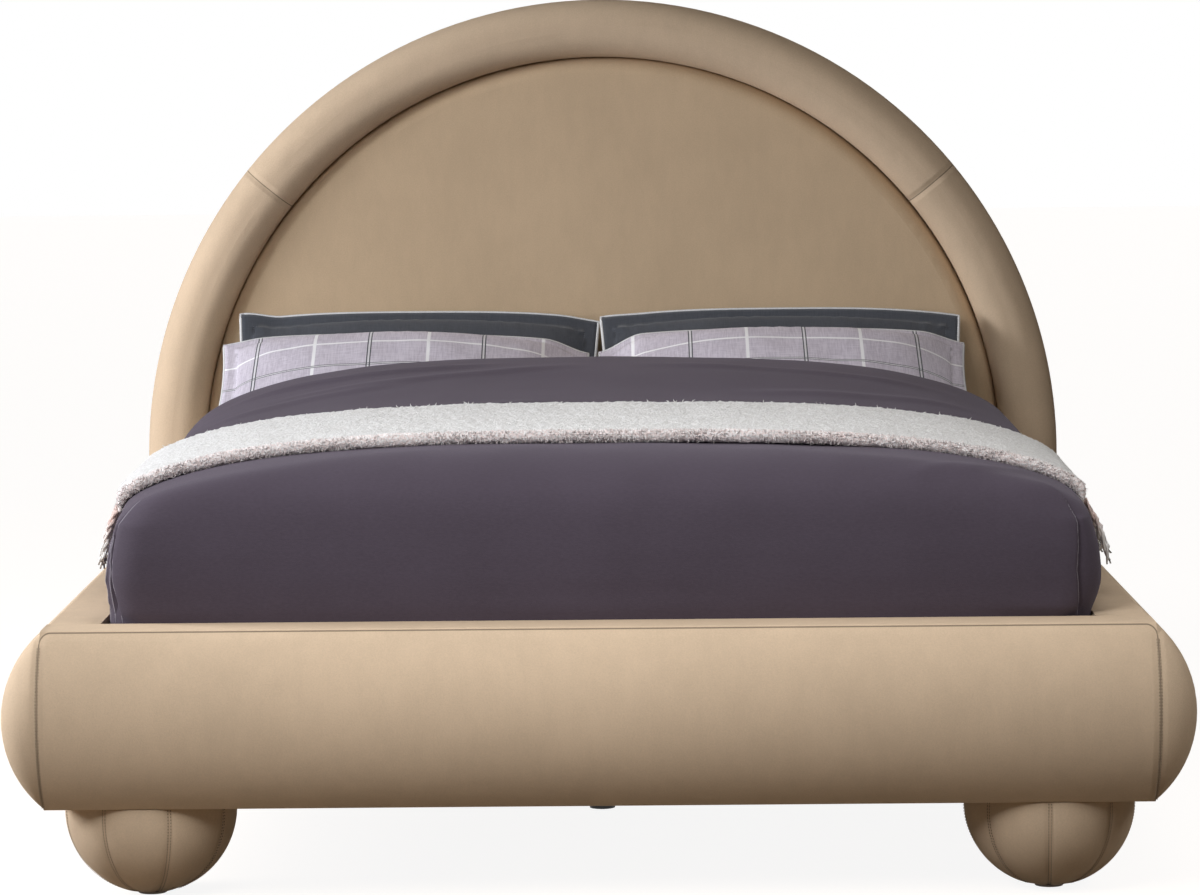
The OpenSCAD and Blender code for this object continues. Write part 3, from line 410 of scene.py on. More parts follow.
slot_finish = {"velvet": velvet, "ticking": ticking, "duvet_velvet": plum, "throw_cream": wool,
               "check_cloth": charcoal, "charcoal_cloth": charcoal, "steel": steel_finish(),
               "webbing": webbing_finish(),
               "nylon": nylon_finish("black nylon", (0.022, 0.022, 0.024), (0.036, 0.036, 0.038)),
               "plywood": wood_finish("birch plywood", (0.62, 0.47, 0.30), (0.42, 0.28, 0.15), plies=0.0015),
               "pine": wood_finish("planed pine", (0.74, 0.57, 0.36), (0.55, 0.37, 0.19))}
own_finish = {"foot_glides": glide_nylon_painted_shade, "headboard_pad": shaded_pad_velvet, "foot_rail_cover": rail_velvet,
              "left_rail_cover": side_velvet, "right_rail_cover": side_velvet,
              "roll_left": roll_velvet, "roll_crown": roll_velvet, "roll_right": roll_velvet}
for part in frame["record"]["subparts"]:
    node = frame["nodes"][part["node"]]
    node.data.materials.clear()
    node.data.materials.append(own_finish.get(part["node"], slot_finish[part["material_slot"]]))
    for face in node.data.polygons:
        face.material_index = 0


# Mesh work shared by the soft pieces


def new_piece(name, points, faces, materials, body):
    mesh = bpy.data.meshes.new(name)
    mesh.from_pydata([tuple(p) for p in points], [], faces)
    mesh.update()
    shaped = bmesh.new()
    shaped.from_mesh(mesh)
    bmesh.ops.recalc_face_normals(shaped, faces=shaped.faces)
    shaped.to_mesh(mesh)
    shaped.free()
    for face in mesh.polygons:
        face.use_smooth = True
    piece = add_object(name, mesh)
    for material in materials:
        mesh.materials.append(material)
    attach(piece, body)
    return piece


def add_object(name, data):
    made = bpy.data.objects.new(name, data)
    bpy.context.scene.collection.objects.link(made)
    return made


def numbers(rows, columns, start=0):
    """Vertex numbers of a grid, row by row"""
    return np.arange(rows * columns).reshape(rows, columns) + start


def quads(index):
    """Faces of a grid of vertex numbers"""
    a, b, c, d = index[:-1, :-1], index[:-1, 1:], index[1:, 1:], index[1:, :-1]
    return np.stack([a, b, c, d], -1).reshape(-1, 4).tolist()


def tube(index):
    """Faces of a grid of vertex numbers in which each row is a closed ring, and of its two ends"""
    return quads(np.concatenate([index, index[:, :1]], 1)) + [index[0].tolist(), index[-1][::-1].tolist()]


def band(first, second):
    """Faces between two rows of vertex numbers"""
    return quads(np.stack([np.asarray(first), np.asarray(second)]))


def circle(middle, side, other, radius, count, turn=0.0):
    """Points round a middle, in the plane of two directions"""
    angles = [2 * math.pi * k / count + turn for k in range(count)]
    return [middle + side * (radius * math.cos(a)) + other * (radius * math.sin(a)) for a in angles]


def ease(a, b, x):
    t = np.clip((x - a) / (b - a), 0, 1)
    return t * t * (3 - 2 * t)


def bunched(count):
    """Numbers from -1 to 1, closer together towards both ends"""
    return np.sin(np.linspace(-math.pi / 2, math.pi / 2, count))


def run_along(a, b):
    """Length along a line up to each of its points"""
    return np.concatenate([[0], np.cumsum(np.hypot(np.diff(a), np.diff(b)))])


def move_points(piece, moved):
    """Moves the points of a finished mesh to where they are worked out to go"""
    place = np.zeros(len(piece.data.vertices) * 3)
    piece.data.vertices.foreach_get("co", place)
    piece.data.vertices.foreach_set("co", moved(place.reshape(-1, 3)).ravel())
    piece.data.update()


def push_out(piece, amount):
    """Moves each point along its normal by an amount in metres, worked out from the points"""
    out = np.array([n.vector[:] for n in piece.data.vertex_normals])
    move_points(piece, lambda place: place + out * amount(place)[:, None])


def relax(piece, weight, times):
    """Evens a mesh out towards its neighbours; weight takes the points and gives 0 to 1 for each"""
    edges = np.zeros(len(piece.data.edges) * 2, int)
    piece.data.edges.foreach_get("vertices", edges)
    a, b = edges.reshape(-1, 2).T
    number = np.bincount(edges)[:, None]

    def moved(place):
        share = weight(place)[:, None]
        for _ in range(times):
            total = [np.bincount(a, line[b], len(place)) + np.bincount(b, line[a], len(place)) for line in place.T]
            place = place + share * 0.5 * (np.stack(total, 1) / number - place)
        return place

    move_points(piece, moved)


def cloud(place, size, seed=0.0):
    """Smooth noise from -1 to 1 at each point"""
    return np.array([noise.noise(Vector(p) / size + Vector((seed, seed * 1.7, -seed))) for p in place])


def sew(name, stitches, wide, high, thread, body):
    """Stitches from start to end with a way out: low rounded bars lying on the cloth, sunk a little into it"""
    points, faces = [], []
    sunk = 0.0004
    for start, end, out in stitches:
        out = out.normalized()
        side = (end - start).normalized().cross(out).normalized()
        faces += tube(numbers(4, 4, len(points)))
        for share, r in ((0.0, 0.25), (0.2, 1.0), (0.8, 1.0), (1.0, 0.25)):
            middle = start.lerp(end, share)
            for a in (math.pi * k / 3 for k in range(4)):
                points.append(middle + side * (wide / 2 * r * math.cos(a)) + out * (high * r * math.sin(a) - sunk))
    new_piece(name, points, faces, [thread], body)


# Duvet: a top between the shoulders, with a skirt tucked down inside the rails

# Radii round the bed's upright corners: the mattress, the skirt's outside and its inside; their middles in plan
corner_r = 0.060
slot_r = corner_r + foot_gap - 0.0022
skin_r = corner_r + 0.001
corner_x = half_mattress - corner_r
corner_y = foot_gap + corner_r
# How far the duvet's inner cloth is drawn in over the mattress's top, and its shoulder's height over that top
drawn_in = 0.012
shoulder = 0.009
# Heights up the skirt from its hem, and how far it bulges there at the foot end and at the sides
level_z = np.array([hem_z, rail_top + 0.0015, rail_top + 0.011, rail_top + 0.065, bed_top - 0.023, bed_top + shoulder])
level_foot = np.array([0, 0, 0.0054, 0.009, 0.005, -0.003])
level_side = np.array([0, 0, 0.0072, 0.045, 0.037, 0.015])


def side_share(y):
    """From 0 at the foot corner to 1 where the sides are full"""
    full_after = 0.78
    return np.clip((y - corner_y) / full_after, 0, 1)


def crown(y):
    """Height of the duvet's middle over its shoulders, more over the pillows"""
    at_foot, over_throw, over_pillows = 0.101, 0.002, 0.046
    return (at_foot + over_throw * ease(throw_near, throw_far, y)
            + over_pillows * ease(throw_far + 0.15, duvet_end - 0.03, y))


def fall(t):
    """Share of the crown's height that is left, from the middle at 0 to the shoulder at 1"""
    return (1 - np.clip(t, 0, 1) ** 3) ** 0.55


def skirt_profile(share, count):
    """Heights and outward offsets of the skirt from the shoulder down, evenly spaced and softened"""
    offset = level_foot + (level_side - level_foot) * share
    run = run_along(offset, level_z)
    fine = np.linspace(0, run[-1], 6 * count)
    z = np.interp(fine, run, level_z)
    soften = 17
    kernel = np.hanning(2 * soften + 1)
    kernel /= kernel.sum()
    rough = np.pad(np.interp(fine, run, offset), soften, mode="reflect", reflect_type="odd")
    soft = np.convolve(rough, kernel, mode="valid")
    pick = np.linspace(0, 1, count)
    at = np.linspace(0, 1, len(fine))
    return np.interp(pick, at, z)[::-1], np.interp(pick, at, soft)[::-1]


def top_half(y):
    """Half the width of the duvet's top where the shoulder starts"""
    return corner_x + slot_r + level_foot[-1] + (level_side[-1] - level_foot[-1]) * side_share(y)


def corner_draw(x, y, z):
    """How far the duvet's cover moves sideways near the foot: the left corner is drawn in, the right one is full"""
    near = ease(0.45, 0.10, y)
    over = ease(bed_top - 0.10, bed_top + 0.12, z)
    free = ease(rail_top, rail_top + 0.05, z)
    left = np.interp(z - rail_top, [0, 0.030, 0.066, 0.093, 0.125], [0.0115, 0.0088, 0.0058, 0.0062, 0.0090])
    left = left + 0.006 * over
    right = 0.0095 * free * (1 - over)
    edge = ease(half_mattress * 0.55, half_mattress, np.abs(x))
    return near * edge * np.where(x < 0, left, right)


def duvet_grid(nx=184, foot_rows=44, rows=92, levels=30):
    """Outer points of the duvet: the top as a grid, and the skirt as rows of the top's rim"""
    square = 14
    a = bunched(nx)
    foot_y = corner_y - slot_r - level_foot[-1]
    near = throw_near - (throw_near - foot_y) * np.cos(np.linspace(0, math.pi / 2, foot_rows))
    far = np.linspace(throw_near, duvet_end, rows)[1:]
    y = np.concatenate([near, far])
    A, Y = np.meshgrid(a, y, indexing="ij")
    half = top_half(Y)
    X = A * half
    f = np.clip((throw_near - Y) / (throw_near - foot_y), 0, 1)
    t = np.minimum(1, (np.abs(A) ** square + f ** square) ** (1 / square))
    Z = bed_top + shoulder + crown(Y) * fall(t)
    # the top's square foot corners are drawn round
    r = slot_r + level_foot[-1]
    ca = np.clip((np.abs(X) - (half - r)) / r, 0, 1)
    cb = np.clip((foot_y + r - Y) / r, 0, 1)
    round_x = np.sign(X) * (half - r + r * ca * np.sqrt(1 - cb ** 2 / 2))
    round_y = foot_y + r - r * cb * np.sqrt(1 - ca ** 2 / 2)
    inside = (ca > 0) & (cb > 0)
    top = np.stack([np.where(inside, round_x, X), np.where(inside, round_y, Y), Z], -1)
    ring = [(0, j) for j in range(len(y) - 1, 0, -1)]
    ring += [(i, 0) for i in range(nx)]
    ring += [(nx - 1, j) for j in range(1, len(y))]
    rim = np.array([top[i, j] for i, j in ring])
    heart = np.stack([np.clip(rim[:, 0], -corner_x, corner_x), np.maximum(rim[:, 1], corner_y)], -1)
    out = rim[:, :2] - heart
    out /= np.linalg.norm(out, axis=1)[:, None]
    skirt = np.zeros((levels, len(ring), 3))
    for k, (o, h) in enumerate(zip(out, heart)):
        z, off = skirt_profile(side_share(h[1]), levels)
        skirt[:, k, 0] = h[0] + o[0] * (slot_r + off)
        skirt[:, k, 1] = h[1] + o[1] * (slot_r + off)
        skirt[:, k, 2] = z
    return top, ring, skirt, out, heart


def pillow_surface(x, y):
    """Upper face of the front pillows as the duvet meets it"""
    u = np.clip((np.abs(x) - np.where(x < 0, -front_x[0], front_x[1])) / (pillow_wide / 2), 0, 1)
    s = (y - front_near) / front_deep
    low = np.clip(s, 0, 0.5)
    mid = bed_top + pillow_lift + front_rise * low - pillow_droop * u ** 3
    thick = 0.003 + 0.048 * np.clip(1 - u * u, 0, 1) ** 0.9 * np.clip(1 - np.abs(2 * low - 1) ** 3, 0, 1) ** 0.55
    z = np.maximum(mid, bed_top + pillow_lift) + thick + front_rise * np.clip(s - 0.5, 0, None)
    return np.where(s < 0, bed_top, z)


def make_duvet():
    over_mattress, over_pillows, pillow_room, cover = 0.0004, 0.010, 0.014, 0.006
    top, ring, skirt, out, heart = duvet_grid()
    nx, ny = top.shape[:2]
    levels = len(skirt)
    n_top = nx * ny
    index = numbers(nx, ny)
    rim_index = np.array([index[i, j] for i, j in ring])
    rows = [rim_index] + list(numbers(levels - 1, len(ring), n_top))
    points = np.concatenate([top.reshape(-1, 3), skirt[1:].reshape(-1, 3)])
    count = len(points)
    under = points.copy()
    under_top = np.maximum(bed_top + over_mattress,
                           pillow_surface(top[..., 0], top[..., 1] + pillow_room) + over_pillows)
    shrink = (corner_x + skin_r - drawn_in) / top_half(top[..., 1])
    foot_pull = np.clip((corner_y - top[..., 1]) / corner_y, 0, 1)
    under[:n_top, 0] = (top[..., 0] * shrink).ravel()
    under[:n_top, 1] = np.maximum(top[..., 1], foot_gap - 0.001 + drawn_in + 0.004 * foot_pull).ravel()
    under[:n_top, 2] = np.minimum(under_top, top[..., 2] - cover).ravel()
    points[:, 0] += corner_draw(points[:, 0], points[:, 1], points[:, 2])
    for row in rows[1:]:
        inner_r = skin_r - drawn_in * ease(bed_top - 0.030, bed_top, points[row, 2])
        under[row, 0] = heart[:, 0] + out[:, 0] * inner_r
        under[row, 1] = heart[:, 1] + out[:, 1] * inner_r
        under[row, 2] = np.minimum(points[row, 2], bed_top)
    under[rim_index, :2] = heart + out * (skin_r - drawn_in)
    # the end at the head is rounded over towards the pillows
    gap = top[:, -1, 2] - under[index[:, -1], 2]
    for back, sink in enumerate((1, 0.42, 0.16, 0.04), 1):
        points[index[:, -back], 2] -= sink * 0.45 * gap
    points[:, 1] += foot_line
    under[:, 1] += foot_line
    faces = quads(index)
    for a, b in zip(rows[:-1], rows[1:]):
        faces += band(a, b)
    faces += [[v + count for v in reversed(q)] for q in faces]
    faces += band(rows[-1], rows[-1] + count)
    head = np.concatenate([np.array([r[0] for r in rows])[::-1], index[1:, -1], np.array([r[-1] for r in rows])[1:]])
    faces += band(head, head + count)
    piece = new_piece("duvet_cover", np.concatenate([points, under]), faces, [plum], "duvet_body")
    far_out = np.zeros(2 * count)
    far_out[:count] = 1
    relax(piece, lambda place: far_out * ease(0.050, 0.015, np.abs(place[:, 2] - bed_top - shoulder)), 60)

    def wrinkles(place):
        x, y, z = place[:, 0], place[:, 1] - foot_line, place[:, 2]
        free = ease(rail_top + 0.01, rail_top + 0.05, z) * far_out
        soft = 0.0035 * cloud(place * [1, 1, 1.5], 0.30) + 0.0015 * cloud(place, 0.11, 3.0)
        ridge = np.zeros(len(place))
        for (x0, y0, x1, y1, wide, high) in duvet_folds:
            d = np.array([x1 - x0, y1 - y0])
            size = np.hypot(*d)
            s = ((x - x0) * d[0] + (y - y0) * d[1]) / size ** 2
            off = ((x - x0) * d[1] - (y - y0) * d[0]) / size
            bow = off - 0.012 * np.sin(np.clip(s, 0, 1) * math.pi)
            ends = ease(-0.12, 0.25, s) * ease(1.12, 0.75, s)
            ridge += high * np.exp(-(bow / wide) ** 2) * ends * (z > bed_top)
        return (soft + ridge) * free + corner_folds(x, y, z) * far_out

    push_out(piece, wrinkles)
    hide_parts("duvet")
    return piece


def corner_folds(x, y, z):
    """Pleats drawn down at the left foot corner, and the folded edge of the front panel at both corners"""
    turned = np.arctan2(corner_y - y, np.abs(x) - corner_x)
    beside = ease(corner_x - 0.13, corner_x - 0.01, np.abs(x)) * ease(corner_y + 0.03, corner_y - 0.01, y)
    height = np.clip((z - rail_top) / (bed_top - rail_top), 0, 1)
    below = ease(rail_top, rail_top + 0.012, z)

    def at(low, middle, high):
        return np.interp(height, [0, 0.5, 1], [low, middle, high])

    def crease(angle, wide=0.045):
        return np.exp(-np.abs(turned - angle) / wide)

    def panel(angle):
        return ease(-0.02, 0.035, turned - angle)

    above = ease(bed_top + 0.085, bed_top + 0.040, z)
    lower = ease(bed_top + 0.075, bed_top - 0.045, z)
    fold = at(0.94, 0.74, 0.66)
    pleats = crease(at(0.66, 0.64, 0.52)) + crease(at(0.38, 0.46, 0.50)) - crease(fold - 0.05)
    left = 0.0015 * panel(fold) * above + (0.0042 * pleats - 0.0030 * (1 - panel(fold))) * lower
    seam = at(0.94, 1.05, 0.92)
    right = 0.0050 * panel(seam) * above - 0.0045 * crease(seam - 0.06, 0.06) * lower * above
    return np.where(x < 0, left, right) * beside * below


# Long folds in the duvet's top: where each starts and ends, its width and its height
duvet_folds = [
    (-0.68, 1.42, -0.20, 1.50, 0.016, 0.006),
    (-0.60, 1.30, -0.05, 1.46, 0.020, 0.005),
    (-0.72, 1.22, -0.35, 1.33, 0.022, 0.004),
    (0.10, 1.46, 0.62, 1.40, 0.018, 0.004),
    (0.25, 1.18, 0.68, 1.24, 0.024, 0.004),
    (-0.45, 1.02, -0.10, 1.08, 0.022, 0.003),
    (0.35, 0.95, 0.60, 1.04, 0.020, 0.003),
    (0.55, 0.05, 0.70, 0.22, 0.018, 0.004),
    (0.48, 0.04, 0.62, 0.16, 0.018, 0.003),
]
duvet = make_duvet()

# Side of each painted highlight in the duvet's foot corners, a thin pale tube where a fold or seam edge catches light;
# height above the bed's top and turn round the corner along it
corner_highlights = [
    (-1, [(-0.145, 0.95), (-0.07, 0.76), (0.0, 0.66), (0.024, 0.74), (0.046, 0.92)]),
    (-1, [(-0.145, 0.67), (-0.07, 0.65), (-0.005, 0.53)]),
    (-1, [(-0.145, 0.36), (-0.07, 0.46), (-0.010, 0.50)]),
    (1, [(-0.145, 0.92), (-0.07, 1.03), (0.0, 0.94), (0.040, 0.93)]),
]


def lay_corner_highlights():
    """Painted highlights: thin pale tubes along the corner seams and pleats, where their edges catch light, half sunk
    in the duvet's cover
    """
    points, faces = [], []
    around, along, thick, sunk = 6, 60, 0.0010, 0.0002
    for side, marks in corner_highlights:
        heights, turns = zip(*marks)
        low = max(heights[0], rail_top - bed_top - 0.004)
        index = numbers(along, around, len(points))
        for k, height in enumerate(np.linspace(low, heights[-1], along)):
            turn = float(np.interp(height, heights, turns))
            out = Vector((side * math.cos(turn), -math.sin(turn), 0))
            axis = Vector((side * corner_x, corner_y + foot_line, bed_top + float(height)))
            _, place, normal, _ = duvet.ray_cast(axis + out * 0.3, -out)
            taper = thick * min(1.0, 0.2 + min(k, along - 1 - k) / 5)
            across = normal.cross(Vector((0, 0, 1))).normalized()
            points += circle(place - normal * sunk, across, normal, taper, around)
        faces += tube(index)
    new_piece("duvet_corner_highlights", points, faces, [highlight_cord_cloth], "duvet_body")


bpy.context.view_layer.update()
lay_corner_highlights()


# Throw: a folded wool blanket across the duvet, with a fringe at both ends

throw_thick = 0.020
under_rows = 24


def throw_section(y, low_z):
    """Points (x, z) and outward turns of the duvet's cross-section at y, from the left side over to the right"""
    step = 0.004
    z, off = skirt_profile(side_share(y), 60)
    half = corner_x + slot_r
    a = bunched(300)
    top_x = a * top_half(y)
    top_z = bed_top + shoulder + crown(y) * fall(np.abs(a))
    x = np.concatenate([-(half + off[::-1]), top_x[1:-1], half + off])
    z = np.concatenate([z[::-1], top_z[1:-1], z])
    x, z = x[z > low_z], z[z > low_z]
    run = run_along(x, z)
    at = np.linspace(0, run[-1], int(round(throw_long / step)))
    x, z = np.interp(at, run, x), np.interp(at, run, z)
    tx, tz = np.gradient(x), np.gradient(z)
    size = np.hypot(tx, tz)
    return x, z, -tz / size, tx / size


def throw_loop():
    """Depth and height over the duvet round the fold: near edge, top, far edge, underside"""
    near_round, far_round, far_high = 0.011, 0.008, throw_thick * 0.42
    loop = []
    for k in range(9):
        turn = -math.pi / 2 + math.pi * k / 8
        loop.append((throw_near + near_round - near_round * math.cos(turn),
                     throw_thick / 2 + throw_thick / 2 * math.sin(turn)))
    for y in np.arange(throw_near + 0.014, throw_far - 0.010, 0.0045):
        loop.append((y, throw_thick * (1.0 - 0.15 * ((y - throw_near) / (throw_far - throw_near)))))
    for k in range(1, 6):
        turn = math.pi / 2 - math.pi * k / 6
        loop.append((throw_far - far_round + far_round * math.cos(turn), far_high + far_high * math.sin(turn)))
    return loop + [(y, 0.0) for y in np.linspace(throw_far - 0.01, throw_near + 0.012, under_rows)]


def make_throw():
    clear, end_z = 0.0006, bed_top + 0.002
    columns = []
    for y, g in throw_loop():
        x, z, nx, nz = throw_section(min(max(y, throw_near), throw_far), end_z)
        t = np.linspace(0, 1, len(x))
        lift = clear + g * np.clip(np.minimum(t, 1 - t) / 0.012, 0.25, 1)
        x = x + corner_draw(x, y, z)
        columns.append(np.stack([x + nx * lift, np.full(len(x), y + foot_line), z + nz * lift], -1))
    grid = np.stack(columns, 1)
    n, m = grid.shape[:2]
    piece = new_piece("throw_blanket", grid.reshape(-1, 3), tube(numbers(n, m)), [wool, wool_edge],
                      "throw_body")
    upper = np.zeros((n, m))
    upper[:, 1:m - under_rows] = 1

    def pile(place):
        curls = 0.0016 * cloud(place, 0.007) + 0.0012 * cloud(place, 0.016, 5.0) + 0.002 * cloud(place, 0.09, 2.0)
        return curls * upper.ravel()

    push_out(piece, pile)
    for face in piece.data.polygons:
        if face.center.y < foot_line + throw_near + 0.010:
            face.material_index = 1
    return piece, grid


def tufts(name, roots, turns, size, material):
    """Small bent curls of wool, each standing on its root"""
    points, faces = [], []
    for root, turn in zip(roots, turns):
        turn = Vector(turn).normalized()
        side = turn.orthogonal().normalized()
        side.rotate(Matrix.Rotation(chance.uniform(0, 2 * math.pi), 3, turn))
        other = turn.cross(side)
        length = size * chance.uniform(0.6, 1.3)
        wide = size * 0.16
        bend = length * chance.uniform(0.3, 0.8)
        start = len(points)
        for share, r in ((0.0, 1.0), (0.4, 0.95), (0.75, 0.7), (1.0, 0.25)):
            middle = Vector(root) + turn * (length * math.sin(share * 1.5) * 0.9) + side * (bend * share * share)
            points += circle(middle, side, other, wide * r, 3)
        faces += tube(numbers(4, 3, start))
    return new_piece(name, points, faces, [material], "throw_body")


def edge_tufts():
    """Curls along the near edge, and looser wisps along the far one"""
    n, m = throw_grid.shape[:2]
    roots, turns = [], []
    for _ in range(5200):
        i = chance.randrange(2, n - 3)
        k = min(11, max(1, int(chance.gauss(5, 2.6))))
        mix = chance.random()
        p = throw_grid[i, k] * (1 - mix) + throw_grid[i + 1, k] * mix
        across = throw_grid[i + 1, k] - throw_grid[i, k]
        along = throw_grid[i, k + 1] - throw_grid[i, k - 1]
        out = np.cross(along, across)
        out /= np.linalg.norm(out) + 1e-9
        if out[1] > 0.5 and k < 9:
            out = -out
        roots.append(p - out * 0.001)
        turns.append(out + np.array([chance.gauss(0, 0.5) for _ in range(3)]))
    near = tufts("throw_near_curls", roots, turns, 0.0052, wool_edge)
    roots, turns = [], []
    last = m - under_rows - 4
    for _ in range(700):
        i = chance.randrange(2, n - 3)
        k = chance.randrange(last - 1, last + 4)
        roots.append(throw_grid[i, k])
        turns.append(np.array([chance.gauss(0, 0.9), 0.8, chance.uniform(-0.2, 0.7)]))
    return [near, tufts("throw_far_wisps", roots, turns, 0.0062, wool)]


def twisted_tassel(path, radius, points, faces, turns):
    """Two strands twisted round one another along a path"""
    last = len(path) - 1
    for strand in (0.0, math.pi):
        start = len(points)
        for s, here in enumerate(path):
            ahead = (Vector(path[min(s + 1, last)]) - Vector(path[max(s - 1, 0)])).normalized()
            side = ahead.cross(Vector((0, 1, 0))).normalized()
            other = ahead.cross(side)
            angle = strand + turns * math.pi * s / last
            apart = radius * 0.55 * (1.0 if s < last - 1 else 1.25)
            middle = Vector(here) + (side * math.cos(angle) + other * math.sin(angle)) * apart
            points += circle(middle, side, other, radius * 0.62 * (1.0 if s < last else 0.5), 4, angle)
        faces += tube(numbers(len(path), 4, start))


def make_fringe(side):
    """Tassels along one end of the throw, hanging over the duvet's side, looser at the right end's foot side"""
    points, faces = [], []
    inset, count, steps = 0.010, 40, 8
    span = throw_far - throw_near - 2 * inset
    top = bed_top + 0.010
    for i in range(count):
        y = throw_near + inset + span * (i + 0.5) / count
        z, off = skirt_profile(side_share(y), 60)
        length = chance.uniform(0.080, 0.104)
        sway = chance.gauss(0, 0.006)
        lean = chance.uniform(0, 0.006)
        loose = (0.0 if side < 0 else 0.014) * ease(7, 0, i)
        path = []
        widest = 0.0
        for s in range(steps + 1):
            t = s / steps
            h = top - length * t
            widest = max(widest, float(np.interp(h, z[::-1], off[::-1])) if h > z[-1] else 0.0)
            x = side * (corner_x + slot_r + widest + 0.0085 + 0.006 * t + (lean + loose) * t)
            path.append((x + float(corner_draw(np.float64(x), y, h)), y + foot_line + sway * t * t, h))
        twisted_tassel(path, chance.uniform(0.0040, 0.0052), points, faces, chance.choice((4, 5, 6)))
    name = "throw_fringe_" + ("left" if side < 0 else "right")
    return new_piece(name, points, faces, [fringe_wool], "throw_body")


throw, throw_grid = make_throw()
fringe = [make_fringe(-1), make_fringe(1)]
curls = edge_tufts()
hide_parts("throw")


# Pillows


def pillow_shape(name, node, body, slot, material, middle_x, near_y, deep, rise, curved, ends, seed):
    """A filled case with a flat flange all round, sewn round its filling"""
    flange, flange_t, full, pull = 0.025, 0.006, 0.102, 0.012
    left_up, right_up, tilt = ends
    low_z = bed_top + pillow_lift
    e, f = 1 - 2 * flange / pillow_wide, flange / deep
    u = np.concatenate([np.linspace(-1, -e, 4)[:-1], bunched(90) * e, np.linspace(e, 1, 4)[1:]])
    mid_s = 0.5 + 0.5 * bunched(64)
    s = np.concatenate([np.linspace(0, f, 4)[:-1], f + (1 - 2 * f) * mid_s, np.linspace(1 - f, 1, 4)[1:]])
    U, S = np.meshgrid(u, s, indexing="ij")
    iu, js = U / e, (S - f) / (1 - 2 * f)
    filled = (np.abs(iu) < 1) & (js > 0) & (js < 1)
    iu, js = np.clip(iu, -1, 1), np.clip(js, 0, 1)
    swell = np.clip(1 - iu * iu, 0, 1) ** 0.62 * np.clip(1 - np.abs(2 * js - 1) ** 3, 0, 1) ** 0.5
    half = flange_t / 2 + np.where(filled, (full - flange_t) / 2 * swell, 0)
    middle = low_z + (rise * (0.18 * S + 0.82 * S * S) if curved else rise * S)
    middle += (left_up * ease(-0.76, -1, U) + right_up * ease(0.76, 1, U)) * ease(0.3, 1, S) + tilt * (U + 1) / 2 * S
    middle = np.maximum(middle - pillow_droop * np.abs(U) ** 3, low_z)
    X = middle_x + U * (pillow_wide / 2 - pull * (1 - (2 * S - 1) ** 2))
    Y = near_y + deep / 2 + (S - 0.5) * (deep - 2 * pull * (1 - U * U)) + foot_line
    upper = np.stack([X, Y, middle + half], -1)
    lower = np.stack([X, Y, np.maximum(middle - half, bed_top + 0.0004)], -1)
    index = numbers(*U.shape)
    count = U.size
    faces = quads(index)
    faces += [[v + count for v in reversed(q)] for q in faces]
    rim = np.concatenate([index[:, 0], index[-1, 1:], index[::-1, -1][1:], index[0, ::-1][1:]])
    faces += band(rim, rim + count)
    points = np.concatenate([upper.reshape(-1, 3), lower.reshape(-1, 3)])
    piece = new_piece(name, points, faces, [material], body)
    edge_u = (1 - np.abs(iu)).ravel()
    edge_s = np.minimum(js, 1 - js).ravel()

    def puckers(place):
        to_end, to_side = edge_u * pillow_wide / 2, edge_s * deep
        near_side = np.exp(-((np.minimum(to_end, to_side) - 0.004) / 0.030) ** 2)
        along = np.where(to_end < to_side, S.ravel() * deep, U.ravel() * pillow_wide / 2)
        ripple = 0.0010 * np.sin(along * 2 * math.pi / 0.034 + seed) * (0.6 + 0.4 * np.sin(along * 31 + seed))
        dents = 0.005 * cloud(place[:count], 0.16, seed) + 0.002 * cloud(place[:count], 0.06, seed + 4)
        both = ripple * near_side + dents * np.clip(edge_s * 6, 0, 1) * np.clip(edge_u * 5, 0, 1)
        return np.concatenate([np.where(filled.ravel(), both, 0), np.zeros(count)])

    push_out(piece, puckers)
    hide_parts(node)
    edge = (upper.reshape(-1, 3)[rim] + lower.reshape(-1, 3)[rim]) / 2
    edging(name + "_edging", [Vector(p) for p in edge[:-1]], flange_t / 2 + 0.0004, body)
    sew_flange(name + "_stitches", upper, e, f, u, s, body)


def edging(name, path, radius, body):
    """A closed round cord along a loop of points"""
    points = []
    count, around = len(path), 5
    for k, place in enumerate(path):
        along = (path[(k + 1) % count] - path[k - 1]).normalized()
        side = along.cross(Vector((0, 0, 1))).normalized()
        points += circle(place, side, side.cross(along), radius, around)
    index = np.pad(numbers(count, around), (0, 1), mode="wrap")
    new_piece(name, points, quads(index), [edge_tape], body)


def sew_flange(name, upper, e, f, u, s, body):
    """A row of stitches round the flange, on the pillow's upper side"""
    long, pitch, wide, high = 0.0034, 0.0058, 0.0010, 0.0008
    i0, i1 = int(np.argmin(np.abs(u + e))), int(np.argmin(np.abs(u - e)))
    j0, j1 = int(np.argmin(np.abs(s - f))), int(np.argmin(np.abs(s - 1 + f)))
    loop = [upper[i, j0] for i in range(i0, i1)] + [upper[i1, j] for j in range(j0, j1)]
    loop += [upper[i, j1] for i in range(i1, i0, -1)] + [upper[i0, j] for j in range(j1, j0, -1)]
    loop = [Vector(p) for p in loop] + [Vector(loop[0])]
    stitches = []
    spare = 0.0
    for a, b in zip(loop[:-1], loop[1:]):
        size = (b - a).length
        d = spare
        while d < size:
            start = a.lerp(b, d / max(size, 1e-9))
            stitches.append((start, start + (b - a).normalized() * long, Vector((0, -0.3, 1))))
            d += pitch
        spare = d - size
    sew(name, stitches, wide, high, pillow_thread, body)


front_pair = {"slot": "check_cloth", "near_y": front_near, "deep": front_deep, "rise": front_rise, "curved": False}
back_pair = {"slot": "charcoal_cloth", "near_y": 1.650, "deep": 0.383, "rise": 0.218, "curved": True}
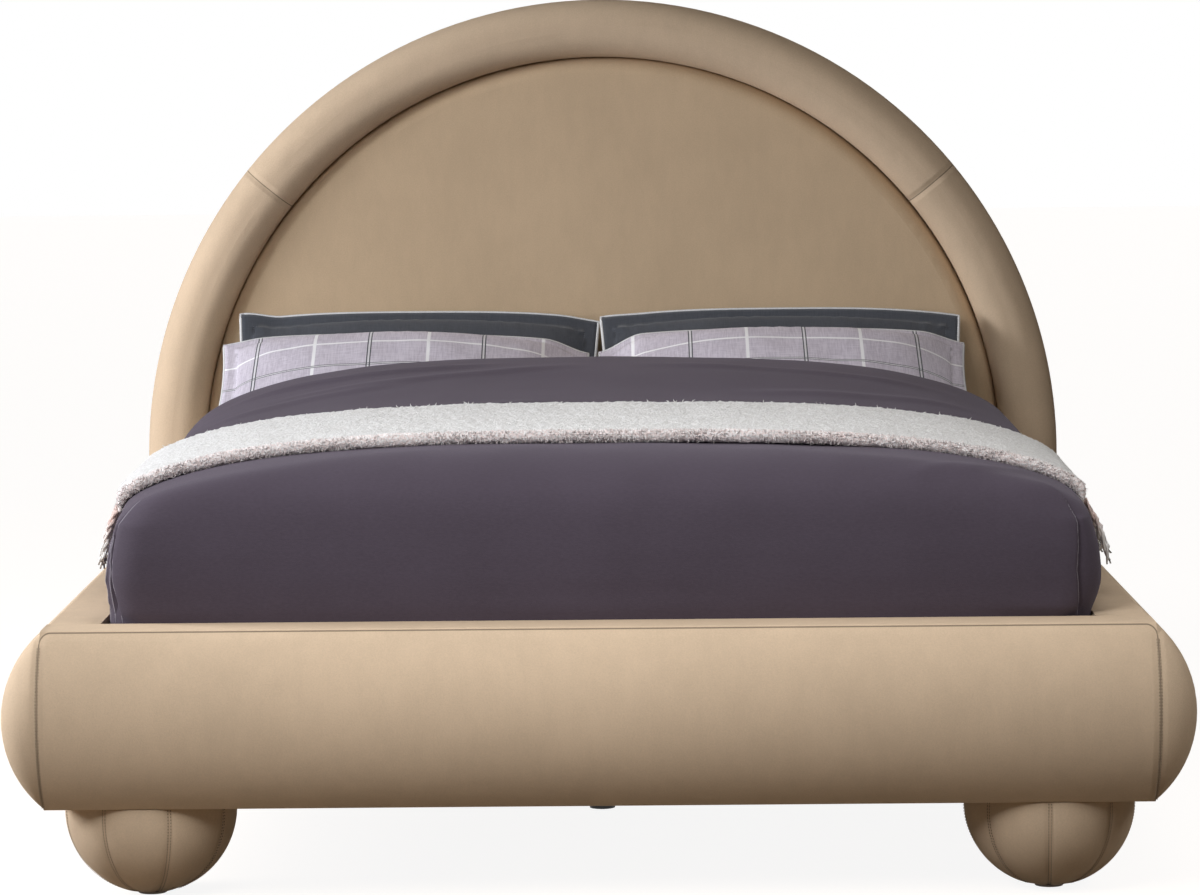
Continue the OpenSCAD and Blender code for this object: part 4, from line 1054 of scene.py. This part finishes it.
# Which pillow, its cloth, its middle, and the lift of its left end, of its right end and towards the right
for seed, (place, pair, cloth, middle_x, ends) in enumerate((
        ("front_left", front_pair, lilac_left, front_x[0], (-0.006, -0.018, -0.010)),
        ("front_right", front_pair, lilac_right, front_x[1], (-0.026, -0.014, 0.0)),
        ("back_left", back_pair, charcoal, -0.364, (0.015, -0.004, -0.002)),
        ("back_right", back_pair, charcoal, 0.357, (0.003, 0.0, 0.0))), 1):
    depth, side = place.split("_")
    pillow_shape(place + "_pillow", "pillow_" + place, "pillow_" + depth[0] + side[0] + "_body",
                 material=cloth, middle_x=middle_x, ends=ends, seed=seed, **pair)


# Mattress under the bedding: a quilted block with round upright corners and soft edges


def bevel(piece, name, width, segments, method):
    """Rounds the edges that have a weight, or those that turn by more than 60 degrees"""
    made = piece.modifiers.new(name, "BEVEL")
    made.width, made.segments, made.limit_method, made.angle_limit = width, segments, method, math.radians(60)
    bpy.ops.object.modifier_apply(modifier=name)


def make_mattress():
    bpy.ops.object.select_all(action="DESELECT")
    size = mattress_high - mattress_low
    bpy.ops.mesh.primitive_cube_add(size=1, location=(mattress_high + mattress_low) / 2)
    piece = bpy.context.object
    piece.name = "mattress_block"
    piece.scale = (size.x - 0.006, size.y - 0.006, size.z - 0.001)
    bpy.ops.object.transform_apply(location=True, rotation=True, scale=True)
    weight = piece.data.attributes.new("bevel_weight_edge", "FLOAT", "EDGE")
    for edge in piece.data.edges:
        a, b = (piece.data.vertices[v].co for v in edge.vertices)
        weight.data[edge.index].value = 1.0 if abs(a.z - b.z) > 0.1 else 0.0
    bevel(piece, "upright corners", corner_r, 10, "WEIGHT")
    bevel(piece, "soft edges", 0.040, 8, "ANGLE")
    piece.data.materials.append(ticking)
    bpy.ops.object.shade_smooth_by_angle(angle=math.radians(35))
    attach(piece, "mattress_body")
    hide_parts("mattress")


make_mattress()


# Ball feet: eight gores, with a double row of stitches at each seam

gores = 8
ball_z = 0.134
thread_wide, thread_high = 0.0011, 0.0007
# Turn of each foot's first seam, in degrees from the foot end
first_seams = {"front_left_foot": -27.0, "front_right_foot": -4.7, "back_left_foot": 18.0, "back_right_foot": 9.0}


def ball_point(centre, radius, azimuth, height, proud=0.0):
    """Point on a ball at that height, and the way out of it; azimuth 0 faces the foot end"""
    reach = math.sqrt(max(0.0, radius ** 2 - (height - centre[2]) ** 2))
    out = Vector((math.sin(azimuth) * reach, -math.cos(azimuth) * reach, height - centre[2])).normalized()
    return Vector(centre) + out * (radius + proud), out


def make_foot(node, first_seam):
    low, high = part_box(node)
    centre = ((low.x + high.x) / 2, (low.y + high.y) / 2, ball_z)
    radius = (high.x - low.x) / 2
    rows, turns = 60, 192
    seam_pitch = 2 * math.pi / gores
    points = []
    for h in np.linspace(high.z, low.z, rows):
        reach = math.sqrt(max(0.0, radius ** 2 - (h - centre[2]) ** 2))
        for a in np.linspace(0, 2 * math.pi, turns, endpoint=False):
            off = (a - math.radians(first_seam) + seam_pitch / 2) % seam_pitch - seam_pitch / 2
            gap = abs(off) * max(reach, 0.02)
            dip = -0.0022 * math.exp(-(gap / 0.0035) ** 2) - 0.0012 * math.exp(-(gap / 0.014) ** 2)
            points.append(ball_point(centre, radius, a, h, dip)[0])
    piece = new_piece(node + "_cover", points, tube(numbers(rows, turns)), [velvet], "bedstead")
    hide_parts(node)
    stitches = []
    row_off, long, pitch, lowest = 0.0022, 0.021, 0.036, 2.75
    for k in range(gores):
        azimuth = math.radians(first_seam) + k * seam_pitch
        for row in (-1, 1):
            polar = math.acos((high.z - centre[2]) / radius) + 0.01
            while polar < lowest:
                turn = azimuth + row * row_off / max(0.03, radius * math.sin(polar))
                a, out = ball_point(centre, radius, turn, centre[2] + radius * math.cos(polar))
                b = ball_point(centre, radius, turn, centre[2] + radius * math.cos(polar + long))[0]
                stitches.append((a, b, out))
                polar += pitch
    sew(node + "_stitches", stitches, thread_wide, thread_high, seam_thread, "bedstead")


for foot, seam in first_seams.items():
    make_foot(foot, seam)


# Seam round the foot rail's front panel, sewn down its two upright ends

rail_flat = 0.081
rail_half = (rail_top - rail_low.z) / 2
bow = foot_line - rail_low.y - rail_flat
bow_r = (rail_half ** 2 + bow ** 2) / (2 * bow)


def rail_seam(side):
    """Two close rows of stitches down the bow of the foot rail, either side of its seam"""
    row_off, proud, pitch, sewn = 0.0019, 0.0002, 0.0050, 0.62
    x = rail_high.x if side > 0 else rail_low.x
    centre = Vector((x, rail_low.y + bow_r, (rail_top + rail_low.z) / 2))
    stitches = []
    step = pitch / bow_r
    turn = -math.asin((rail_half - 0.004) / bow_r)
    highest = math.asin((rail_half - seam_below - seam_corner) / bow_r)
    while turn < highest - step:
        ends = [Vector((0, -math.cos(a), math.sin(a))) for a in (turn, turn + step * sewn)]
        for row in (-1, 1):
            first, second = (centre + Vector((row * row_off, 0, 0)) + e * (bow_r + proud) for e in ends)
            stitches.append((first, second, ends[0]))
        turn += step
    name = "foot_rail_stitches_" + ("left" if side < 0 else "right")
    sew(name, stitches, thread_wide, thread_high, seam_thread, "bedstead")


rail_seam(-1)
rail_seam(1)


# Floor, light and camera


def make_floor():
    """A pale floor, about as bright as the background where the camera sees it"""
    bpy.ops.object.select_all(action="DESELECT")
    bpy.ops.mesh.primitive_plane_add(size=60, location=(0, 0, 0))
    floor = bpy.context.object
    floor.name = "studio_floor"
    f = Finish("pale floor", 0.95, emission_strength=1.0)
    f.mottle(f.grain(3.0), (0.18, 0.14, 0.10), (0.20, 0.16, 0.12))
    f.feed("Emission Color", f.blend(f.seen(), (0, 0, 0), (0.90, 0.90, 0.90)))
    floor.data.materials.append(f.material)


def softbox(name, place, target, size, watts, spread=180, colour=(1.0, 1.0, 1.0)):
    """A square lamp at a place, turned to a target, which the camera doesn't see"""
    light = bpy.data.lights.new(name, "AREA")
    light.size = size
    light.energy = watts
    light.color = colour
    light.spread = math.radians(spread)
    holder = add_object(name, light)
    holder.location = place
    holder.rotation_euler = (Vector(place) - Vector(target)).to_track_quat("Z", "Y").to_euler()
    holder.visible_camera = False


def make_world():
    """Dim warm light from all round, and white where it is seen directly, in a reflection or through a clear piece"""
    world = bpy.data.worlds.new("studio")
    bpy.context.scene.world = world
    light = Nodes(world)
    soft = light.node("Background", {"Color": rgb(1.0, 0.80, 0.60), "Strength": 0.05})
    white = light.node("Background", {"Color": rgb(1, 1, 1)})
    both = light.node("MixShader", {0: light.seen(), 1: soft, 2: white})
    out = next(n for n in light.tree.nodes if n.type == "OUTPUT_WORLD")
    light.tree.links.new(both.socket, out.inputs["Surface"])


def make_camera():
    """The photograph's own viewpoint: low, a little right of the middle, seen from the foot end"""
    data = bpy.data.cameras.new("photo camera")
    data.lens = 131.66
    data.sensor_width = 36
    camera = add_object("photo camera", data)
    left_turn, down_turn, roll = 0.0052, 0.088, -0.009
    camera.matrix_world = (Matrix.Translation((0.0405, foot_line - 6.739, 1.292))
                           @ Matrix.Rotation(left_turn, 4, "Z")
                           @ Matrix.Rotation(math.pi / 2 - down_turn, 4, "X")
                           @ Matrix.Rotation(roll, 4, "Z"))
    bpy.context.scene.camera = camera


make_floor()
make_world()
softbox("left softbox", (-3.6, -0.3, 1.5), (-0.3, 0.4, 0.6), 1.3, 128, colour=(0.97, 1.0, 1.06))
softbox("front softbox", (-0.9, -2.9, 2.1), (0.0, -1.1, 0.25), 1.3, 15.2, 90, (0.98, 1.0, 1.03))
softbox("top softbox", (0.5, -0.9, 3.1), (0.3, -0.6, 0.0), 1.8, 9, 120)
softbox("right softbox", (2.2, -2.0, 1.9), (0.9, -0.8, 0.45), 0.9, 3.3, 85)
make_camera()
bpy.context.scene.view_settings.view_transform = "Standard"
